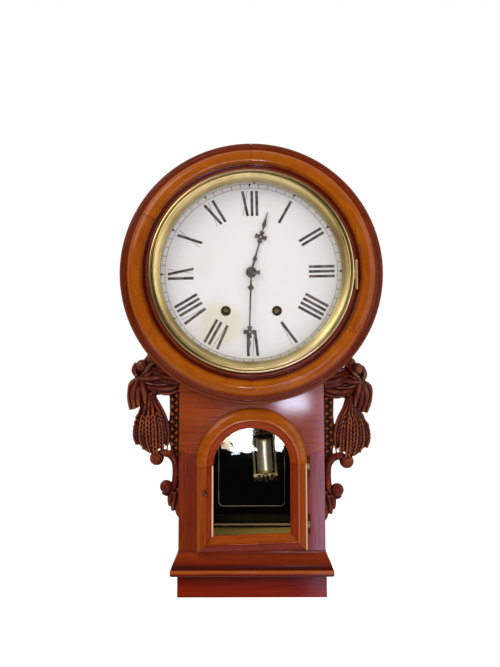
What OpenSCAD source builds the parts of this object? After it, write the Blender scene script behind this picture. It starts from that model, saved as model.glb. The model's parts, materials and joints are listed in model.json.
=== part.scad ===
// Drop-dial wall clock with carved ears: a round wooden head over a trunk with an arched
// glazed door, an eight-day time and strike movement, and a pendulum with a tubular bob.
// The origin is the hanging hole in the back. +X is right, +Z is up, the front faces -Y.
// Outlines are drawn as seen from the front, with the dial centre at 0, 0, and "depth"
// is the distance out from the wall.

/* [Case] */
// Width of the trunk over its side boards
trunk_w = 244; // [236:1:250]
// Depth of the side boards, from the wall to the back of the front boards
side_depth = 80; // [78:1:88]
// Thickness of the side boards
side_t = 10; // [8:1:12]
// Thickness of the front boards
front_t = 12; // [10:1:14]
// Thickness of the backboard
back_t = 8; // [6:0.5:9]
// Height of the hanging hole above the dial centre
hang_rise = 150; // [142:1:152]
// Height of the top of the case above the dial centre
case_rise = 170; // [166:1:176]
// Drop from the dial centre to the foot of the plinth
foot_drop = 539; // [532:1:550]
// Radius of the hanging hole
hang_r = 4.5; // [3.5:0.5:6]

/* [Head] */
// Diameter of the wooden head ring
ring_d = 445; // [438:1:452]
// Thickness of the head ring at the crown of its moulding
ring_t = 30; // [28:1:32]
// Height of the bezel's seat above the back of the ring
ring_ledge_t = 12; // [10:1:13]
// Thickness of the ring's lip under the dial
dial_lip_t = 2; // [1.5:0.5:4]
// Width of the wooden band of the ring, from its rim to the bezel
ring_band = 50.2; // [49.6:0.1:50.8]
// Width of the brass bezel, from its rim to the free glass
bezel_w = 19; // [17.5:0.5:19.5]
// Height of the bezel from its seat to its crown
bezel_h = 21.7; // [20.7:0.5:23.7]

/* [Door] */
// Width of the door over its frame
door_w = 183.5; // [178:0.5:188]
// Clearance between the rim of the ring and the top of the door's arch
door_gap = 8; // [6:0.5:12]
// Width of the door's frame moulding
door_frame_w = 28; // [25:1:30]
// Thickness of the door's frame
door_t = 16; // [14:1:18]
// Overlap of the door on the boards around it
door_lap = 11; // [9:1:12]

/* [Base] */
// Height of the canted moulding above the slab
flare_h = 28; // [24:1:32]
// Projection of the canted moulding and slab beyond the trunk
flare_out = 12.5; // [8:0.5:14]
// Thickness of the slab
slab_h = 11; // [9:0.1:12.5]
// Height of the plinth under the slab
plinth_h = 37; // [32:0.1:40]
// Projection of the plinth beyond the sides of the trunk
plinth_out = 1.5; // [0:0.5:3]

/* [Ears] */
// Drop from the dial centre to the foot of the left ear
ear_foot_drop = 417; // [409:1:423]
// Thickness of the carved ears at their background
ear_t = 8; // [6:1:10]
// Distance of the ears' back from the wall
ear_depth = 58; // [50:1:64]
// Drop of the right ear below the left one, as fitted by hand
ear_shift = 6; // [0:1:8]

/* [Hands] */
// Length of the minute hand from centre to tip
minute_len = 140; // [134:1:143]
// Length of the hour hand from centre to tip
hour_len = 109.5; // [104:0.5:114]
// Thickness of both hands
hand_t = 1.2; // [0.8:0.1:1.5]
// Minutes shown by the minute hand
minute_now = 30.3; // [0:0.1:59.9]

/* [Pendulum] */
// Length from the flexing point of the suspension to the middle of the bob
pendulum_len = 361.5; // [352:0.5:366]
// Diameter of the bob's tube
bob_d = 27; // [24:0.5:30]
// Length of the bob's tube
bob_len = 52; // [46:1:56]
// Distance from the bob's axis to each twisted column
column_x = 19; // [17:0.5:21]
// Angle at which the pendulum is caught on its swing to the right
swing_now = 3.6; // [0:0.1:4.5]

/* [Movement] */
// Distance between the winding holes
winding_w = 87; // [84:1:90]
// Drop of the winding holes below the dial centre
winding_drop = 65.7; // [64:0.1:68]
// Space between the movement's plates
plate_gap = 28.4; // [28:0.1:30]
// Thickness of the movement's plates
plate_t = 1.6; // [1.2:0.1:2]
// Height of the movement's back plate above the wall
plate_depth = 44; // [42:1:46]
// Running clearance of every pivot in its hole
pivot_fit = 0.05; // [0.03:0.01:0.08]

/* [Hidden] */
$fn = 72;

// Depths out from the wall
face = side_depth + front_t;
dial_depth = face + dial_lip_t;
dial_t = 1.5;
seat_gap = 0.3;
seat_depth = face + ring_ledge_t;
bezel_seat = seat_depth + seat_gap;
bezel_face = bezel_seat + bezel_h;
glass_t = 2;
glass_depth = bezel_face - 15.5;

// Outline sizes
trunk_x = trunk_w / 2;
ring_r = ring_d / 2;
bezel_gap = 1.3;
inner_r = ring_r - ring_band;
bezel_r = inner_r - bezel_gap;
sight_r = bezel_r - bezel_w;
dial_r = bezel_r - 7;
ledge_r = dial_r - 24;
// Angles of the glued joints between the segments of the head ring
ring_joints = [13, 90, 152, 213, 270, 328];
glue_line = 0.08;
head_joint_z = 42.5 - ring_r;
flare_z = -(foot_drop - plinth_h - slab_h - flare_h);
slab_z = flare_z - flare_h;
plinth_z = slab_z - slab_h;
door_x = door_w / 2;
door_top_z = -ring_r - door_gap;
door_spring_z = door_top_z - door_x;
door_foot_z = flare_z + seat_gap;
opening_x = door_x - door_lap;
joint_fall = 12;
joint_z = door_spring_z + 22;
floor_t = 10;
floor_z = door_foot_z + door_lap;

// Places an outline drawn about the dial centre in the clock's own frame.
module at_dial() {
    translate([0, 0, -hang_rise]) children();
}

// Cuts an outline seen from the front out of a board that fills two depths.
module board(near_wall, far) {
    translate([0, -near_wall, 0]) rotate([90, 0, 0])
        linear_extrude(far - near_wall) children();
}

// A rod that runs straight out from the wall at a place on the front view.
module rod(place, radius, near_wall, far) {
    board(near_wall, far) translate(place) circle(radius);
}

// Revolves a section of radius and depth about the axis through the dial centre.
module turned() {
    rotate([90, 0, 0]) rotate_extrude() children();
}

function arc(centre, radius, from, to, steps) =
    [for (i = [0 : steps]) let (a = from + (to - from) * i / steps)
        [centre.x + radius * cos(a), centre.y + radius * sin(a)]];
function polar(radius, angle) = [radius * cos(angle), radius * sin(angle)];
function direction(a, b) = atan2(b.y - a.y, b.x - a.x);
// The point at distance reach_a from a and reach_b from b, left or right of the way from a to b
function meet(a, b, reach_a, reach_b, side) =
    let (gap = norm(b - a), along = (reach_a ^ 2 - reach_b ^ 2 + gap ^ 2) / (2 * gap),
        off = side * sqrt(reach_a ^ 2 - along ^ 2), u = (b - a) / gap)
    a + along * u + off * [-u.y, u.x];

module back_board() {
    pocket_w = hanger_w + 0.2;
    color("tan") at_dial() difference() {
        board(0, back_t) translate([-trunk_x + side_t, slab_z])
            square([trunk_w - 2 * side_t, case_rise - side_t - slab_z]);
        board(-1, hanger_t) translate([-pocket_w / 2, hang_rise - hanger_drop])
            square([pocket_w, hanger_h]);
        rod([0, hang_rise], hang_r + 4, 0, back_t + 1);
    }
}

// Brass plate let into the back, with the hole that hangs on the wall screw.
hanger_w = 30;
hanger_h = 42;
hanger_drop = 34;
hanger_t = 2;
module hanger_plate() {
    screw_r = 1.8;
    color("goldenrod") at_dial() difference() {
        board(0, hanger_t) translate([-hanger_w / 2, hang_rise - hanger_drop])
            square([hanger_w, hanger_h]);
        rod([0, hang_rise], hang_r, -1, hanger_t + 1);
        for (x = [-9, 9]) rod([x, hang_rise - 24], screw_r, -1, hanger_t + 1);
    }
}

module side_board(side) {
    color("sienna") at_dial() board(0, side_depth)
        translate([side > 0 ? trunk_x - side_t : -trunk_x, slab_z])
            square([side_t, case_rise - slab_z]);
}

module side_board_left() { side_board(-1); }
module side_board_right() { side_board(1); }

module top_board() {
    color("sienna") at_dial() board(0, side_depth)
        translate([-trunk_x + side_t, case_rise - side_t])
            square([trunk_w - 2 * side_t, side_t]);
}

module floor_board() {
    color("peru") at_dial() board(back_t, side_depth)
        translate([-trunk_x + side_t, floor_z - floor_t])
            square([trunk_w - 2 * side_t, floor_t]);
}

// Board across the front of the box behind the head ring, open for the movement.
head_opening_r = 105;
module head_board() {
    color("sienna") at_dial() board(side_depth, face) difference() {
        translate([-trunk_x, head_joint_z]) square([trunk_w, case_rise - head_joint_z]);
        circle(head_opening_r);
    }
}

// Section of the head ring: reeded edge, broad swelling band, steep cove and inner beads.
module ring_section() {
    edge_r = 2.1;
    crown = [ring_r - 29, ring_t - 16];
    cove_r = 8;
    cove = [ring_r - 43.6, ring_t - 0.9];
    bead_r = 2.2;
    bead_z = ring_t - 8.4;
    rebate_r = dial_r + seat_gap;
    translate([0, face]) {
        polygon(concat(
            [[ledge_r, 0], [ring_r - 1.4, 0], [ring_r - 1.4, 13], [ring_r - 4, 16],
                [ring_r - 9.6, 17.4]],
            arc(crown, 16, 26, 118, 10),
            arc(cove, cove_r, -12, -92, 6),
            [[inner_r, ring_t - 9.4], [inner_r, ring_ledge_t], [rebate_r, ring_ledge_t],
                [rebate_r, dial_lip_t], [ledge_r, dial_lip_t]]));
        translate([ring_r - edge_r, 13.6]) circle(edge_r);
        translate([ring_r - 6.2, 15.8]) circle(edge_r);
        translate([inner_r + bead_r, bead_z]) circle(bead_r);
        translate([inner_r + 3 * bead_r, bead_z - 0.4]) circle(bead_r);
    }
}

hinge_z = -8;
bezel_hinge_len = 49;
bezel_pin = [bezel_r + 3.6, seat_depth + 15];
module head_ring() {
    count = len(ring_joints);
    glue_angle = 360 * glue_line / (PI * ring_d);
    color("sienna") at_dial() difference() {
        for (i = [0 : count - 1]) {
            next = i < count - 1 ? ring_joints[i + 1] : ring_joints[0] + 360;
            rotate([90, 0, 0]) rotate([0, 0, ring_joints[i]])
                rotate_extrude(angle = next - ring_joints[i] - glue_angle) ring_section();
        }
        board(bezel_leaf_depth, face + ring_t)
            translate([bezel_r - 2, hinge_z - bezel_hinge_len / 2 - seat_gap])
                square([16, bezel_hinge_len + 2 * seat_gap]);
    }
}

// Front of the trunk: a panel over the door's arch, on two stiles and a bottom rail.
module door_opening() {
    translate([0, door_spring_z]) circle(opening_x);
}

module trunk_panel() {
    color("sienna") at_dial() board(side_depth, face) difference() {
        polygon([[-trunk_x, head_joint_z], [trunk_x, head_joint_z], [trunk_x, joint_z],
            [opening_x - 1, joint_z - joint_fall], [1 - opening_x, joint_z - joint_fall],
            [-trunk_x, joint_z]]);
        door_opening();
    }
}

module trunk_stile(side) {
    inner_z = joint_z - joint_fall;
    color("brown") at_dial() board(side_depth, face) difference() {
        polygon([[side * trunk_x, joint_z], [side * (opening_x - 1), inner_z],
            [side * opening_x, door_spring_z], [side * opening_x, slab_z],
            [side * trunk_x, slab_z]]);
        door_opening();
    }
}

module trunk_stile_left() { trunk_stile(-1); }
module trunk_stile_right() { trunk_stile(1); }

module trunk_bottom_rail() {
    color("sienna") at_dial() board(side_depth, face)
        translate([-opening_x, slab_z]) square([2 * opening_x, floor_z - slab_z]);
}

// Canted moulding round the foot of the trunk: a front and two side pieces, mitred.
module base_moulding() {
    mitre = 1.2 * flare_out;
    color("brown") at_dial() {
        intersection() {
            translate([-trunk_x - flare_out, 0, 0]) rotate([90, 0, 90])
                linear_extrude(trunk_w + 2 * flare_out)
                    polygon([[-face, flare_z], [-face, slab_z], [-face - flare_out, slab_z]]);
            translate([0, 0, slab_z - 1]) linear_extrude(flare_h + 2)
                polygon([[-trunk_x, -face], [-trunk_x - mitre, -face - mitre],
                    [trunk_x + mitre, -face - mitre], [trunk_x, -face]]);
        }
        for (side = [-1, 1]) intersection() {
            board(0, face + flare_out) polygon([[side * trunk_x, flare_z],
                [side * trunk_x, slab_z], [side * (trunk_x + flare_out), slab_z]]);
            translate([0, 0, slab_z - 1]) linear_extrude(flare_h + 2)
                polygon([[side * trunk_x, 0], [side * (trunk_x + mitre), 0],
                    [side * (trunk_x + mitre), glue_line - face - mitre],
                    [side * trunk_x, glue_line - face]]);
        }
    }
}

module base_slab() {
    color("brown") at_dial() translate([-trunk_x - flare_out, -face - flare_out, plinth_z])
        cube([trunk_w + 2 * flare_out, face + flare_out, slab_h]);
}

// Plinth of three boards, mitred at the front and open behind.
module plinth() {
    plinth_t = 12;
    plinth_x = trunk_x + plinth_out;
    color("brown") at_dial() difference() {
        translate([-plinth_x, -face, -foot_drop]) cube([2 * plinth_x, face, plinth_h]);
        translate([-plinth_x + plinth_t, -face + plinth_t, -foot_drop - 1])
            cube([2 * (plinth_x - plinth_t), face, plinth_h + 2]);
    }
}

// Bevelled looking glass behind the pendulum.
mirror_t = 4;
module mirror_glass() {
    mirror_x = 72;
    bevel_w = 12;
    mirror_top = door_top_z + 10;
    mirror_foot = floor_z;
    color("lightsteelblue") at_dial() difference() {
        board(back_t, back_t + mirror_t) translate([-mirror_x, mirror_foot])
            square([2 * mirror_x, mirror_top - mirror_foot]);
        for (side = [-1, 1])
            translate([side * mirror_x, -back_t - mirror_t, mirror_foot - 1])
                linear_extrude(mirror_top - mirror_foot + 2)
                    polygon([[-side * bevel_w, 0], [0, 1], [side, 1], [side, -1],
                        [-side * bevel_w, -1]]);
    }
}

// Carved ears, drawn for the right of the clock with the trunk's side at 0 across.
// Each stroke is a chain of rounded knuckles given as [across, height, radius, rise].
module stroke(chain) {
    for (i = [0 : len(chain) - 2]) hull() for (k = [chain[i], chain[i + 1]])
        translate([k[0], -ear_t - k[3], k[1]]) sphere(k[2], $fn = 12);
}

wheat_tips = [[79, -293], [66, -305], [50, -315], [35, -306], [24, -298]];
wheat_tie = [57, -226];
module wheat_ear(tip) {
    belly = (tip + wheat_tie) / 2 + [(tip.x - wheat_tie.x) * 0.22, -4];
    stroke([[wheat_tie.x, wheat_tie.y, 3.5, 0], [belly.x, belly.y, 6.5, 1],
        [tip.x * 0.8 + belly.x * 0.2, tip.y + 12, 6, 1], [tip.x, tip.y, 1.6, 0]]);
}

module lattice_strip() {
    pitch = 13;
    board(0, ear_t) polygon([[0, -190], [18, -196], [20, -214], [18, -240], [21, -262],
        [25, -269], [20, -278], [17, -300], [16, -322], [0, -330]]);
    for (row = [0 : 8]) for (column = [0, 1])
        translate([6.7 + 8 * column, -ear_t, -208 - pitch * (row + 0.5 * column)])
            rotate([90, 0, 0]) cylinder(3, 6.2, 2, $fn = 4);
}

module ear() {
    lattice_strip();
    // Cloth swag and its knot under the edge of the head
    board(0, ear_t) polygon(concat([[0, -150], [50, -120]],
        arc([67, -160], 18, 70, -60, 6), [[62, -208], [40, -218], [14, -210], [0, -205]]));
    stroke([[10, -204, 5, 0], [36, -217, 7, 2], [60, -208, 7, 3], [74, -188, 6, 2]]);
    stroke([[14, -188, 6, 1], [40, -202, 7, 4], [64, -192, 8, 5], [78, -172, 8, 3]]);
    stroke([[50, -170, 9, 2], [68, -158, 12, 1], [72, -166, 12, 2], [66, -180, 9, 4]]);
    // Leaf turned outward over the swag
    board(0, ear_t) polygon([[60, -196], [74, -184], [88, -196], [92, -208], [90, -232],
        [84, -240], [76, -230], [66, -228], [58, -214]]);
    stroke([[68, -192, 5, 3], [82, -206, 6, 3], [85, -228, 3, 1]]);
    stroke([[64, -200, 5, 3], [72, -216, 5, 3], [74, -226, 3, 1]]);
    // Sheaf of wheat, spread below its tie
    board(0, ear_t) polygon([[54, -210], [66, -216], [82, -262], [80, -286], [66, -296],
        [50, -306], [34, -300], [22, -290], [22, -262], [46, -224]]);
    for (tip = wheat_tips) wheat_ear(tip);
    // Scrolls: one under the sheaf, one at the foot, and the arm between them
    translate([0, -ear_t / 2, 0]) {
        translate([40, 0, -315]) sphere(12.6, $fn = 20);
        translate([22, 0, -364]) sphere(12, $fn = 20);
    }
    stroke([[34, -305, 5, 0], [18, -306, 5, 0], [9, -320, 6, 0], [7, -344, 6, 0],
        [12, -360, 6, 0]]);
    // Leaf that runs out against the trunk
    board(0, ear_t) polygon([[0, -310], [14, -318], [15, -340], [26, -372], [22, -380],
        [19, -392], [12, -404], [4, -413], [0, -414]]);
    stroke([[16, -376, 5, 1], [13, -394, 5, 1], [4, -408, 2, 0]]);
}

// The drawing is 414 high from its own centre, a little above the dial's, to the ear's foot.
ear_rise = 5.5;
module ear_in_place() {
    translate([0, -ear_depth, ear_rise]) scale((ear_foot_drop + ear_rise) / 414) ear();
}

module ear_right() {
    color("saddlebrown") at_dial() translate([trunk_x, 0, -ear_shift]) ear_in_place();
}

module ear_left() {
    color("saddlebrown") at_dial() translate([-trunk_x, 0, 0]) mirror([1, 0, 0])
        ear_in_place();
}

// Painted sheet-metal dial on the ledge of the head ring.
winding_x = winding_w / 2;
winding_places = [[winding_x, -winding_drop], [-winding_x, -winding_drop]];
grommet_r = 7;
dial_pin_r = 0.8;
dial_pins_at = [for (a = [88, 28, -31, 212]) polar(dial_r - 7, a)];
module dial() {
    centre_hole_r = 6;
    color("ivory") at_dial() difference() {
        rod([0, 0], dial_r, dial_depth, dial_depth + dial_t);
        rod([0, 0], centre_hole_r, dial_depth - 1, bezel_face);
        for (p = winding_places) rod(p, grommet_r + pivot_fit, dial_depth - 1, bezel_face);
        for (p = dial_pins_at) rod(p, dial_pin_r + pivot_fit, dial_depth - 1, bezel_face);
    }
}

module dial_pins() {
    head_r = 1.7;
    head_t = 0.8;
    color("dimgray") at_dial() for (p = dial_pins_at) {
        rod(p, dial_pin_r, dial_depth, dial_depth + dial_t + head_t);
        rod(p, head_r, dial_depth + dial_t, dial_depth + dial_t + head_t);
    }
}

module winding_grommets() {
    hole_r = 5.6;
    flange_r = 8.4;
    flange_t = 0.7;
    color("goldenrod") at_dial() for (p = winding_places) difference() {
        union() {
            rod(p, grommet_r, dial_depth - 1, dial_depth + dial_t + flange_t);
            rod(p, flange_r, dial_depth + dial_t, dial_depth + dial_t + flange_t);
        }
        rod(p, hole_r, dial_depth - 2, bezel_face);
    }
}

// Coiled wire gong riveted into an iron block on the backboard.
gong_at = [0, -172];
gong_r = 37;
gong_depth = 22;
gong_wire_r = 1.4;
gong_block = [12, 20];
module gong() {
    turns = 3.5;
    steps = 70;
    sides = 6;
    pitch = 6.5;
    points = [for (i = [0 : steps], k = [0 : sides - 1])
        let (t = turns * i / steps, a = 180 - 360 * t, r = gong_r - pitch * t,
            w = r + gong_wire_r * cos(360 * k / sides), p = polar(w, a) + gong_at)
        [p.x, -gong_depth - gong_wire_r * sin(360 * k / sides), p.y]];
    sleeves = [for (i = [0 : steps - 1], k = [0 : sides - 1])
        let (j = (k + 1) % sides, a = i * sides, b = a + sides) [b + k, b + j, a + j, a + k]];
    ends = [[for (k = [0 : sides - 1]) k],
        [for (k = [sides - 1 : -1 : 0]) steps * sides + k]];
    color("dimgray") at_dial() {
        polyhedron(points, concat(sleeves, ends), convexity = 10);
        board(back_t, gong_depth + 5) translate(gong_at + [-gong_r, 0] - gong_block / 2)
            square(gong_block);
    }
}

// Places of the arbors, worked out from the wheels that mesh.
great_teeth = 84;
train_teeth = 72;
third_teeth = 64;
locking_teeth = 60;
lantern = 7;
great_module = 0.9;
train_module = 0.6;
fast_module = 0.55;
escape_r = 14.5;
escape_teeth = 32;
pallet_reach = 19.5;
function reach(teeth_a, teeth_b, size) = size * (teeth_a + teeth_b) / 2;
great_reach = reach(great_teeth, lantern, great_module);
train_reach = reach(train_teeth, lantern, train_module);
centre_at = [0, 0];
escape_at = [0, 24.2];
verge_at = escape_at + [0, pallet_reach];
time_great_at = winding_places[0];
strike_great_at = winding_places[1];
second_at = meet(centre_at, time_great_at, train_teeth * train_module, great_reach, 1);
third_at = meet(centre_at, escape_at, train_reach, reach(third_teeth, lantern, fast_module), -1);
pin_wheel_at = [-second_at.x, second_at.y];
locking_at = pin_wheel_at + polar(train_reach, 100);
fly_at = locking_at + polar(reach(locking_teeth, lantern, fast_module), 60);
hammer_at = [-60, -26];
motion_reach = 24;
motion_at = polar(motion_reach, 135);

// Depths inside the movement
plate_1 = plate_depth + plate_t;
plate_2 = plate_1 + plate_gap;
plate_3 = plate_2 + plate_t;
great_depth = plate_1 + 1.6;
great_t = 2;
spring_depth = great_depth + great_t + 1.9;
spring_width = 14;
wheel_t = 1.2;
escape_depth = plate_1 + 4.4;
third_depth = plate_1 + 14.5;
pin_depth = plate_2 - 7.8;
centre_depth = plate_2 - 4.2;
cannon_depth = plate_3 + 2.4;
cannon_len = 5;
motion_depth = cannon_depth + 1;
hour_depth = cannon_depth + cannon_len + 2;
hour_hand_depth = dial_depth + dial_t + 2.1;
minute_hand_depth = hour_hand_depth + hand_t + 2.2;
end_shake = 0.3;
arbor_r = 1.5;
pivot_r = 0.9;
centre_r = 2;
winding_r = 3.2;

// Angle of a driven wheel's tooth that sets it in mesh with a tooth of its driver.
function mesh(tooth, teeth_a, teeth_b, towards) =
    towards + 180 - ((tooth - towards) * teeth_a + 180) / teeth_b;

// Toothed rim of a wheel with one tooth centred on an angle, and windows between its arms.
module wheel_outline(teeth, size, tooth, width, arms) {
    r = teeth * size / 2;
    root = r - 1.25 * size;
    tip = r + 0.75 * size;
    step = 360 / teeth;
    rim = root - 2.6;
    hub = 5;
    difference() {
        polygon([for (i = [0 : teeth - 1], k = [[root, -0.56], [r, -0.5], [tip, -0.22],
            [tip, 0.22], [r, 0.5], [root, 0.56]])
            polar(k[0], tooth + step * (i + k[1] * width))]);
        for (i = [0 : arms - 1]) let (a = 360 / arms, half = a / 2 - 7, start = tooth + a * i)
            polygon(concat(arc([0, 0], rim, start - half, start + half, 6),
                arc([0, 0], hub, start + half * 0.6, start - half * 0.6, 3)));
    }
}

module wheel(place, near_wall, thick, teeth, size, tooth, width, arms) {
    board(near_wall, near_wall + thick) translate(place)
        wheel_outline(teeth, size, tooth, width, arms);
}

// Lantern pinion: steel trundles between two brass shrouds on the arbor.
module lantern_pinion(place, near_wall, thick, size, tooth) {
    r = lantern * size / 2;
    trundle_r = size * 0.52;
    shroud_t = 0.8;
    play = 0.5;
    for (i = [0 : lantern - 1])
        rod(place + polar(r, tooth + 360 * i / lantern), trundle_r,
            near_wall - play - shroud_t / 2, near_wall + thick + play + shroud_t / 2);
    for (depth = [near_wall - play - shroud_t, near_wall + thick + play])
        rod(place, r + trundle_r + 0.5, depth, depth + shroud_t);
}

module arbor(place) {
    rod(place, arbor_r, plate_1 + end_shake, plate_2 - end_shake);
    rod(place, pivot_r, plate_depth, plate_3);
}

module movement_feet() {
    color("goldenrod") at_dial() for (x = [-46, 46], z = [-76, 52]) {
        rod([x, z], 5, back_t, plate_depth);
        rod([x, z], 7, back_t, back_t + 3);
    }
}

// Brass plates with cut-outs; the back one carries the riveted pillars.
pillars_at = [[-52, 52], [52, 52], [-76, -26], [76, -26], [0, -96]];
module plate_outline() {
    half = [[60, 64], [60, 6], [82, -16], [82, -38], [64, -54], [62, -84], [14, -102]];
    difference() {
        polygon(concat(half, [for (i = [len(half) - 1 : -1 : 0]) [-half[i].x, half[i].y]]));
        translate([0, -56]) circle(17);
        for (x = [-32, 32]) translate([x, 43]) circle(10);
    }
}

module pivot_holes(near_wall) {
    for (p = [escape_at, verge_at, third_at, second_at, pin_wheel_at, locking_at, fly_at])
        rod(p, pivot_r + pivot_fit, near_wall - 1, near_wall + plate_t + 1);
}

module movement_back_plate() {
    pillar_r = 3;
    color("goldenrod") at_dial() {
        difference() {
            board(plate_depth, plate_1) plate_outline();
            pivot_holes(plate_depth);
            for (p = concat(winding_places, [centre_at]))
                rod(p, pivot_r + pivot_fit, plate_depth - 1, plate_1 + 1);
            rod(hammer_at, arbor_r + pivot_fit, plate_depth - 1, plate_1 + 1);
        }
        for (p = pillars_at) rod(p, pillar_r, plate_1, plate_2);
    }
}

module movement_front_plate() {
    stud_r = 1.5;
    color("goldenrod") at_dial() {
        difference() {
            board(plate_2, plate_3) plate_outline();
            pivot_holes(plate_2);
            rod(centre_at, centre_r + pivot_fit, plate_2 - 1, plate_3 + 1);
            rod(hammer_at, pivot_r + pivot_fit, plate_2 - 1, plate_3 + 1);
            for (p = winding_places) rod(p, winding_r + pivot_fit, plate_2 - 1, plate_3 + 1);
        }
        rod(motion_at, stud_r, plate_3, hour_depth + 4);
        for (p = pillars_at) rod(p, 2.6, plate_3, plate_3 + 2);
    }
}

// Bracket that holds the suspension spring over the flexing point.
swing_depth = 34;
module suspension_cock() {
    color("goldenrod") at_dial() {
        board(swing_depth + 2, plate_depth) translate(verge_at + [-6, 8]) square([12, 12]);
        board(swing_depth - 2, swing_depth + 2) translate(verge_at + [-4, 0.3])
            square([8, 19.7]);
    }
}

// Open mainsprings, each coiled round its winding arbor and hooked on a pillar.
module mainsprings() {
    coils = 7;
    inner = 5.4;
    pitch = 3.1;
    thick = 0.9;
    steps = 24 * coils;
    outer = inner + coils * pitch;
    color("slategray") at_dial() for (i = [0, 1]) {
        place = winding_places[i];
        pillar = pillars_at[3 - i];
        hook = pillar - place;
        start = direction(place, pillar) + 90 - 360 * coils;
        run = [for (k = [0 : steps]) let (t = k / steps)
            [inner + coils * pitch * t, start + 360 * coils * t]];
        board(spring_depth, spring_depth + spring_width) translate(place) {
            polygon(concat([for (p = run) polar(p[0], p[1])],
                [for (k = [steps : -1 : 0]) polar(run[k][0] - thick, run[k][1])]));
            difference() {
                union() {
                    translate(hook) circle(4.2);
                    rotate(direction(place, pillar)) translate([-1, outer - thick])
                        square([norm(hook) + 1, thick]);
                    rotate(direction(place, pillar)) translate([norm(hook) - thick, 3.2])
                        square([thick, outer - 3.2]);
                }
                translate(hook) circle(3.3);
            }
        }
    }
}

module square_rod(place, size, near_wall, far) {
    board(near_wall, far) translate(place - [size, size] / 2) square(size);
}

// Great wheel on its winding arbor, whose square end stands behind the dial's hole.
module great_wheel(place, tooth) {
    wheel(place, great_depth, great_t, great_teeth, great_module, tooth, 0.4, 5);
    rod(place, winding_r, plate_1 + end_shake, dial_depth - 12);
    rod(place, pivot_r, plate_depth, plate_1 + 1);
    square_rod(place, 4.4, dial_depth - 13, dial_depth - 1.2);
}

module time_great_wheel() {
    color("goldenrod") at_dial() great_wheel(time_great_at, 0);
}

module strike_great_wheel() {
    color("goldenrod") at_dial() great_wheel(strike_great_at, 0);
}

centre_tooth = 0;
module second_wheel() {
    color("goldenrod") at_dial() {
        arbor(second_at);
        lantern_pinion(second_at, great_depth, great_t, great_module,
            mesh(0, great_teeth, lantern, direction(time_great_at, second_at)));
        wheel(second_at, centre_depth, wheel_t, train_teeth, train_module,
            mesh(centre_tooth, train_teeth, train_teeth, direction(centre_at, second_at)),
            0.36, 5);
    }
}

// Centre arbor with its wheel and the cannon pinion; it carries the minute hand.
cannon_teeth = 12;
cannon_module = 1;
module centre_arbor() {
    color("goldenrod") at_dial() {
        rod(centre_at, centre_r, plate_1 + end_shake, minute_hand_depth);
        rod(centre_at, pivot_r, plate_depth, plate_1 + 1);
        square_rod(centre_at, 2.4, minute_hand_depth - 1, minute_hand_depth + hand_t + 2.6);
        wheel(centre_at, centre_depth, wheel_t, train_teeth, train_module, centre_tooth,
            0.36, 5);
        wheel(centre_at, cannon_depth, cannon_len, cannon_teeth, cannon_module, 0, 0.36, 0);
    }
}

module third_wheel() {
    color("goldenrod") at_dial() {
        arbor(third_at);
        lantern_pinion(third_at, centre_depth, wheel_t, train_module,
            mesh(centre_tooth, train_teeth, lantern, direction(centre_at, third_at)));
        wheel(third_at, third_depth, wheel_t, third_teeth, fast_module, 0, 0.4, 4);
    }
}

module escape_wheel() {
    depth = 2.6;
    step = 360 / escape_teeth;
    color("goldenrod") at_dial() {
        arbor(escape_at);
        lantern_pinion(escape_at, third_depth, wheel_t, fast_module,
            mesh(0, third_teeth, lantern, direction(third_at, escape_at)));
        board(escape_depth, escape_depth + wheel_t) translate(escape_at) difference() {
            polygon([for (i = [0 : escape_teeth - 1], k = [[depth, -0.45], [depth, 0],
                [0, 0.4], [0, 0.48]]) polar(escape_r - k[0], step * (i + k[1]))]);
            for (i = [0 : 3]) let (a = 90 * i) polygon(concat(
                arc([0, 0], escape_r - depth - 1.8, a - 36, a + 36, 6),
                arc([0, 0], 3.6, a + 20, a - 20, 3)));
        }
    }
}

// Anchor of bent steel, its arbor and the crutch behind the back plate.
module verge_and_crutch() {
    tip = polar(escape_r + 1.9, 45);
    hub = 3.4;
    crutch_len = 52;
    wire_r = 0.8;
    slot_x = 2.4;
    side = [[hub, 0], [hub * 0.8, 2.2], [tip.x + 2, tip.y - pallet_reach + 4.5],
        [tip.x + 1.8, tip.y - pallet_reach - 1], [tip.x, tip.y - pallet_reach],
        [tip.x - 0.6, tip.y - pallet_reach + 3.4]];
    color("slategray") at_dial() translate([verge_at.x, 0, verge_at.y])
        rotate([0, -swing_now, 0]) {
            rod([0, 0], arbor_r, plate_1 + end_shake, plate_2 - end_shake);
            rod([0, 0], pivot_r, swing_depth + 4.4, plate_3);
            board(escape_depth - 0.6, escape_depth + 1.4) {
                circle(hub);
                polygon(concat(side, [for (i = [len(side) - 1 : -1 : 0])
                    [-side[i].x, side[i].y]]));
            }
            board(swing_depth + 4.6, swing_depth + 6.2) translate([-wire_r, -crutch_len])
                square([2 * wire_r, crutch_len]);
            board(swing_depth + 4.6, swing_depth + 6.2)
                translate([-slot_x - wire_r, -crutch_len]) square([2 * (slot_x + wire_r), 2]);
            for (x = [-slot_x, slot_x])
                rod([x, 1 - crutch_len], wire_r, swing_depth - 3, swing_depth + 6);
        }
}

module minute_wheel() {
    teeth = 36;
    pinion_teeth = 12;
    pinion_module = 0.8;
    bore_r = 1.5 + pivot_fit;
    towards = direction(centre_at, motion_at);
    color("goldenrod") at_dial() difference() {
        union() {
            wheel(motion_at, motion_depth, wheel_t, teeth, cannon_module,
                mesh(0, cannon_teeth, teeth, towards), 0.36, 0);
            wheel(motion_at, motion_depth + wheel_t, hour_depth + 3 - motion_depth - wheel_t,
                pinion_teeth, pinion_module, 0, 0.36, 0);
        }
        rod(motion_at, bore_r, motion_depth - 1, hour_depth + 4);
    }
}

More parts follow.
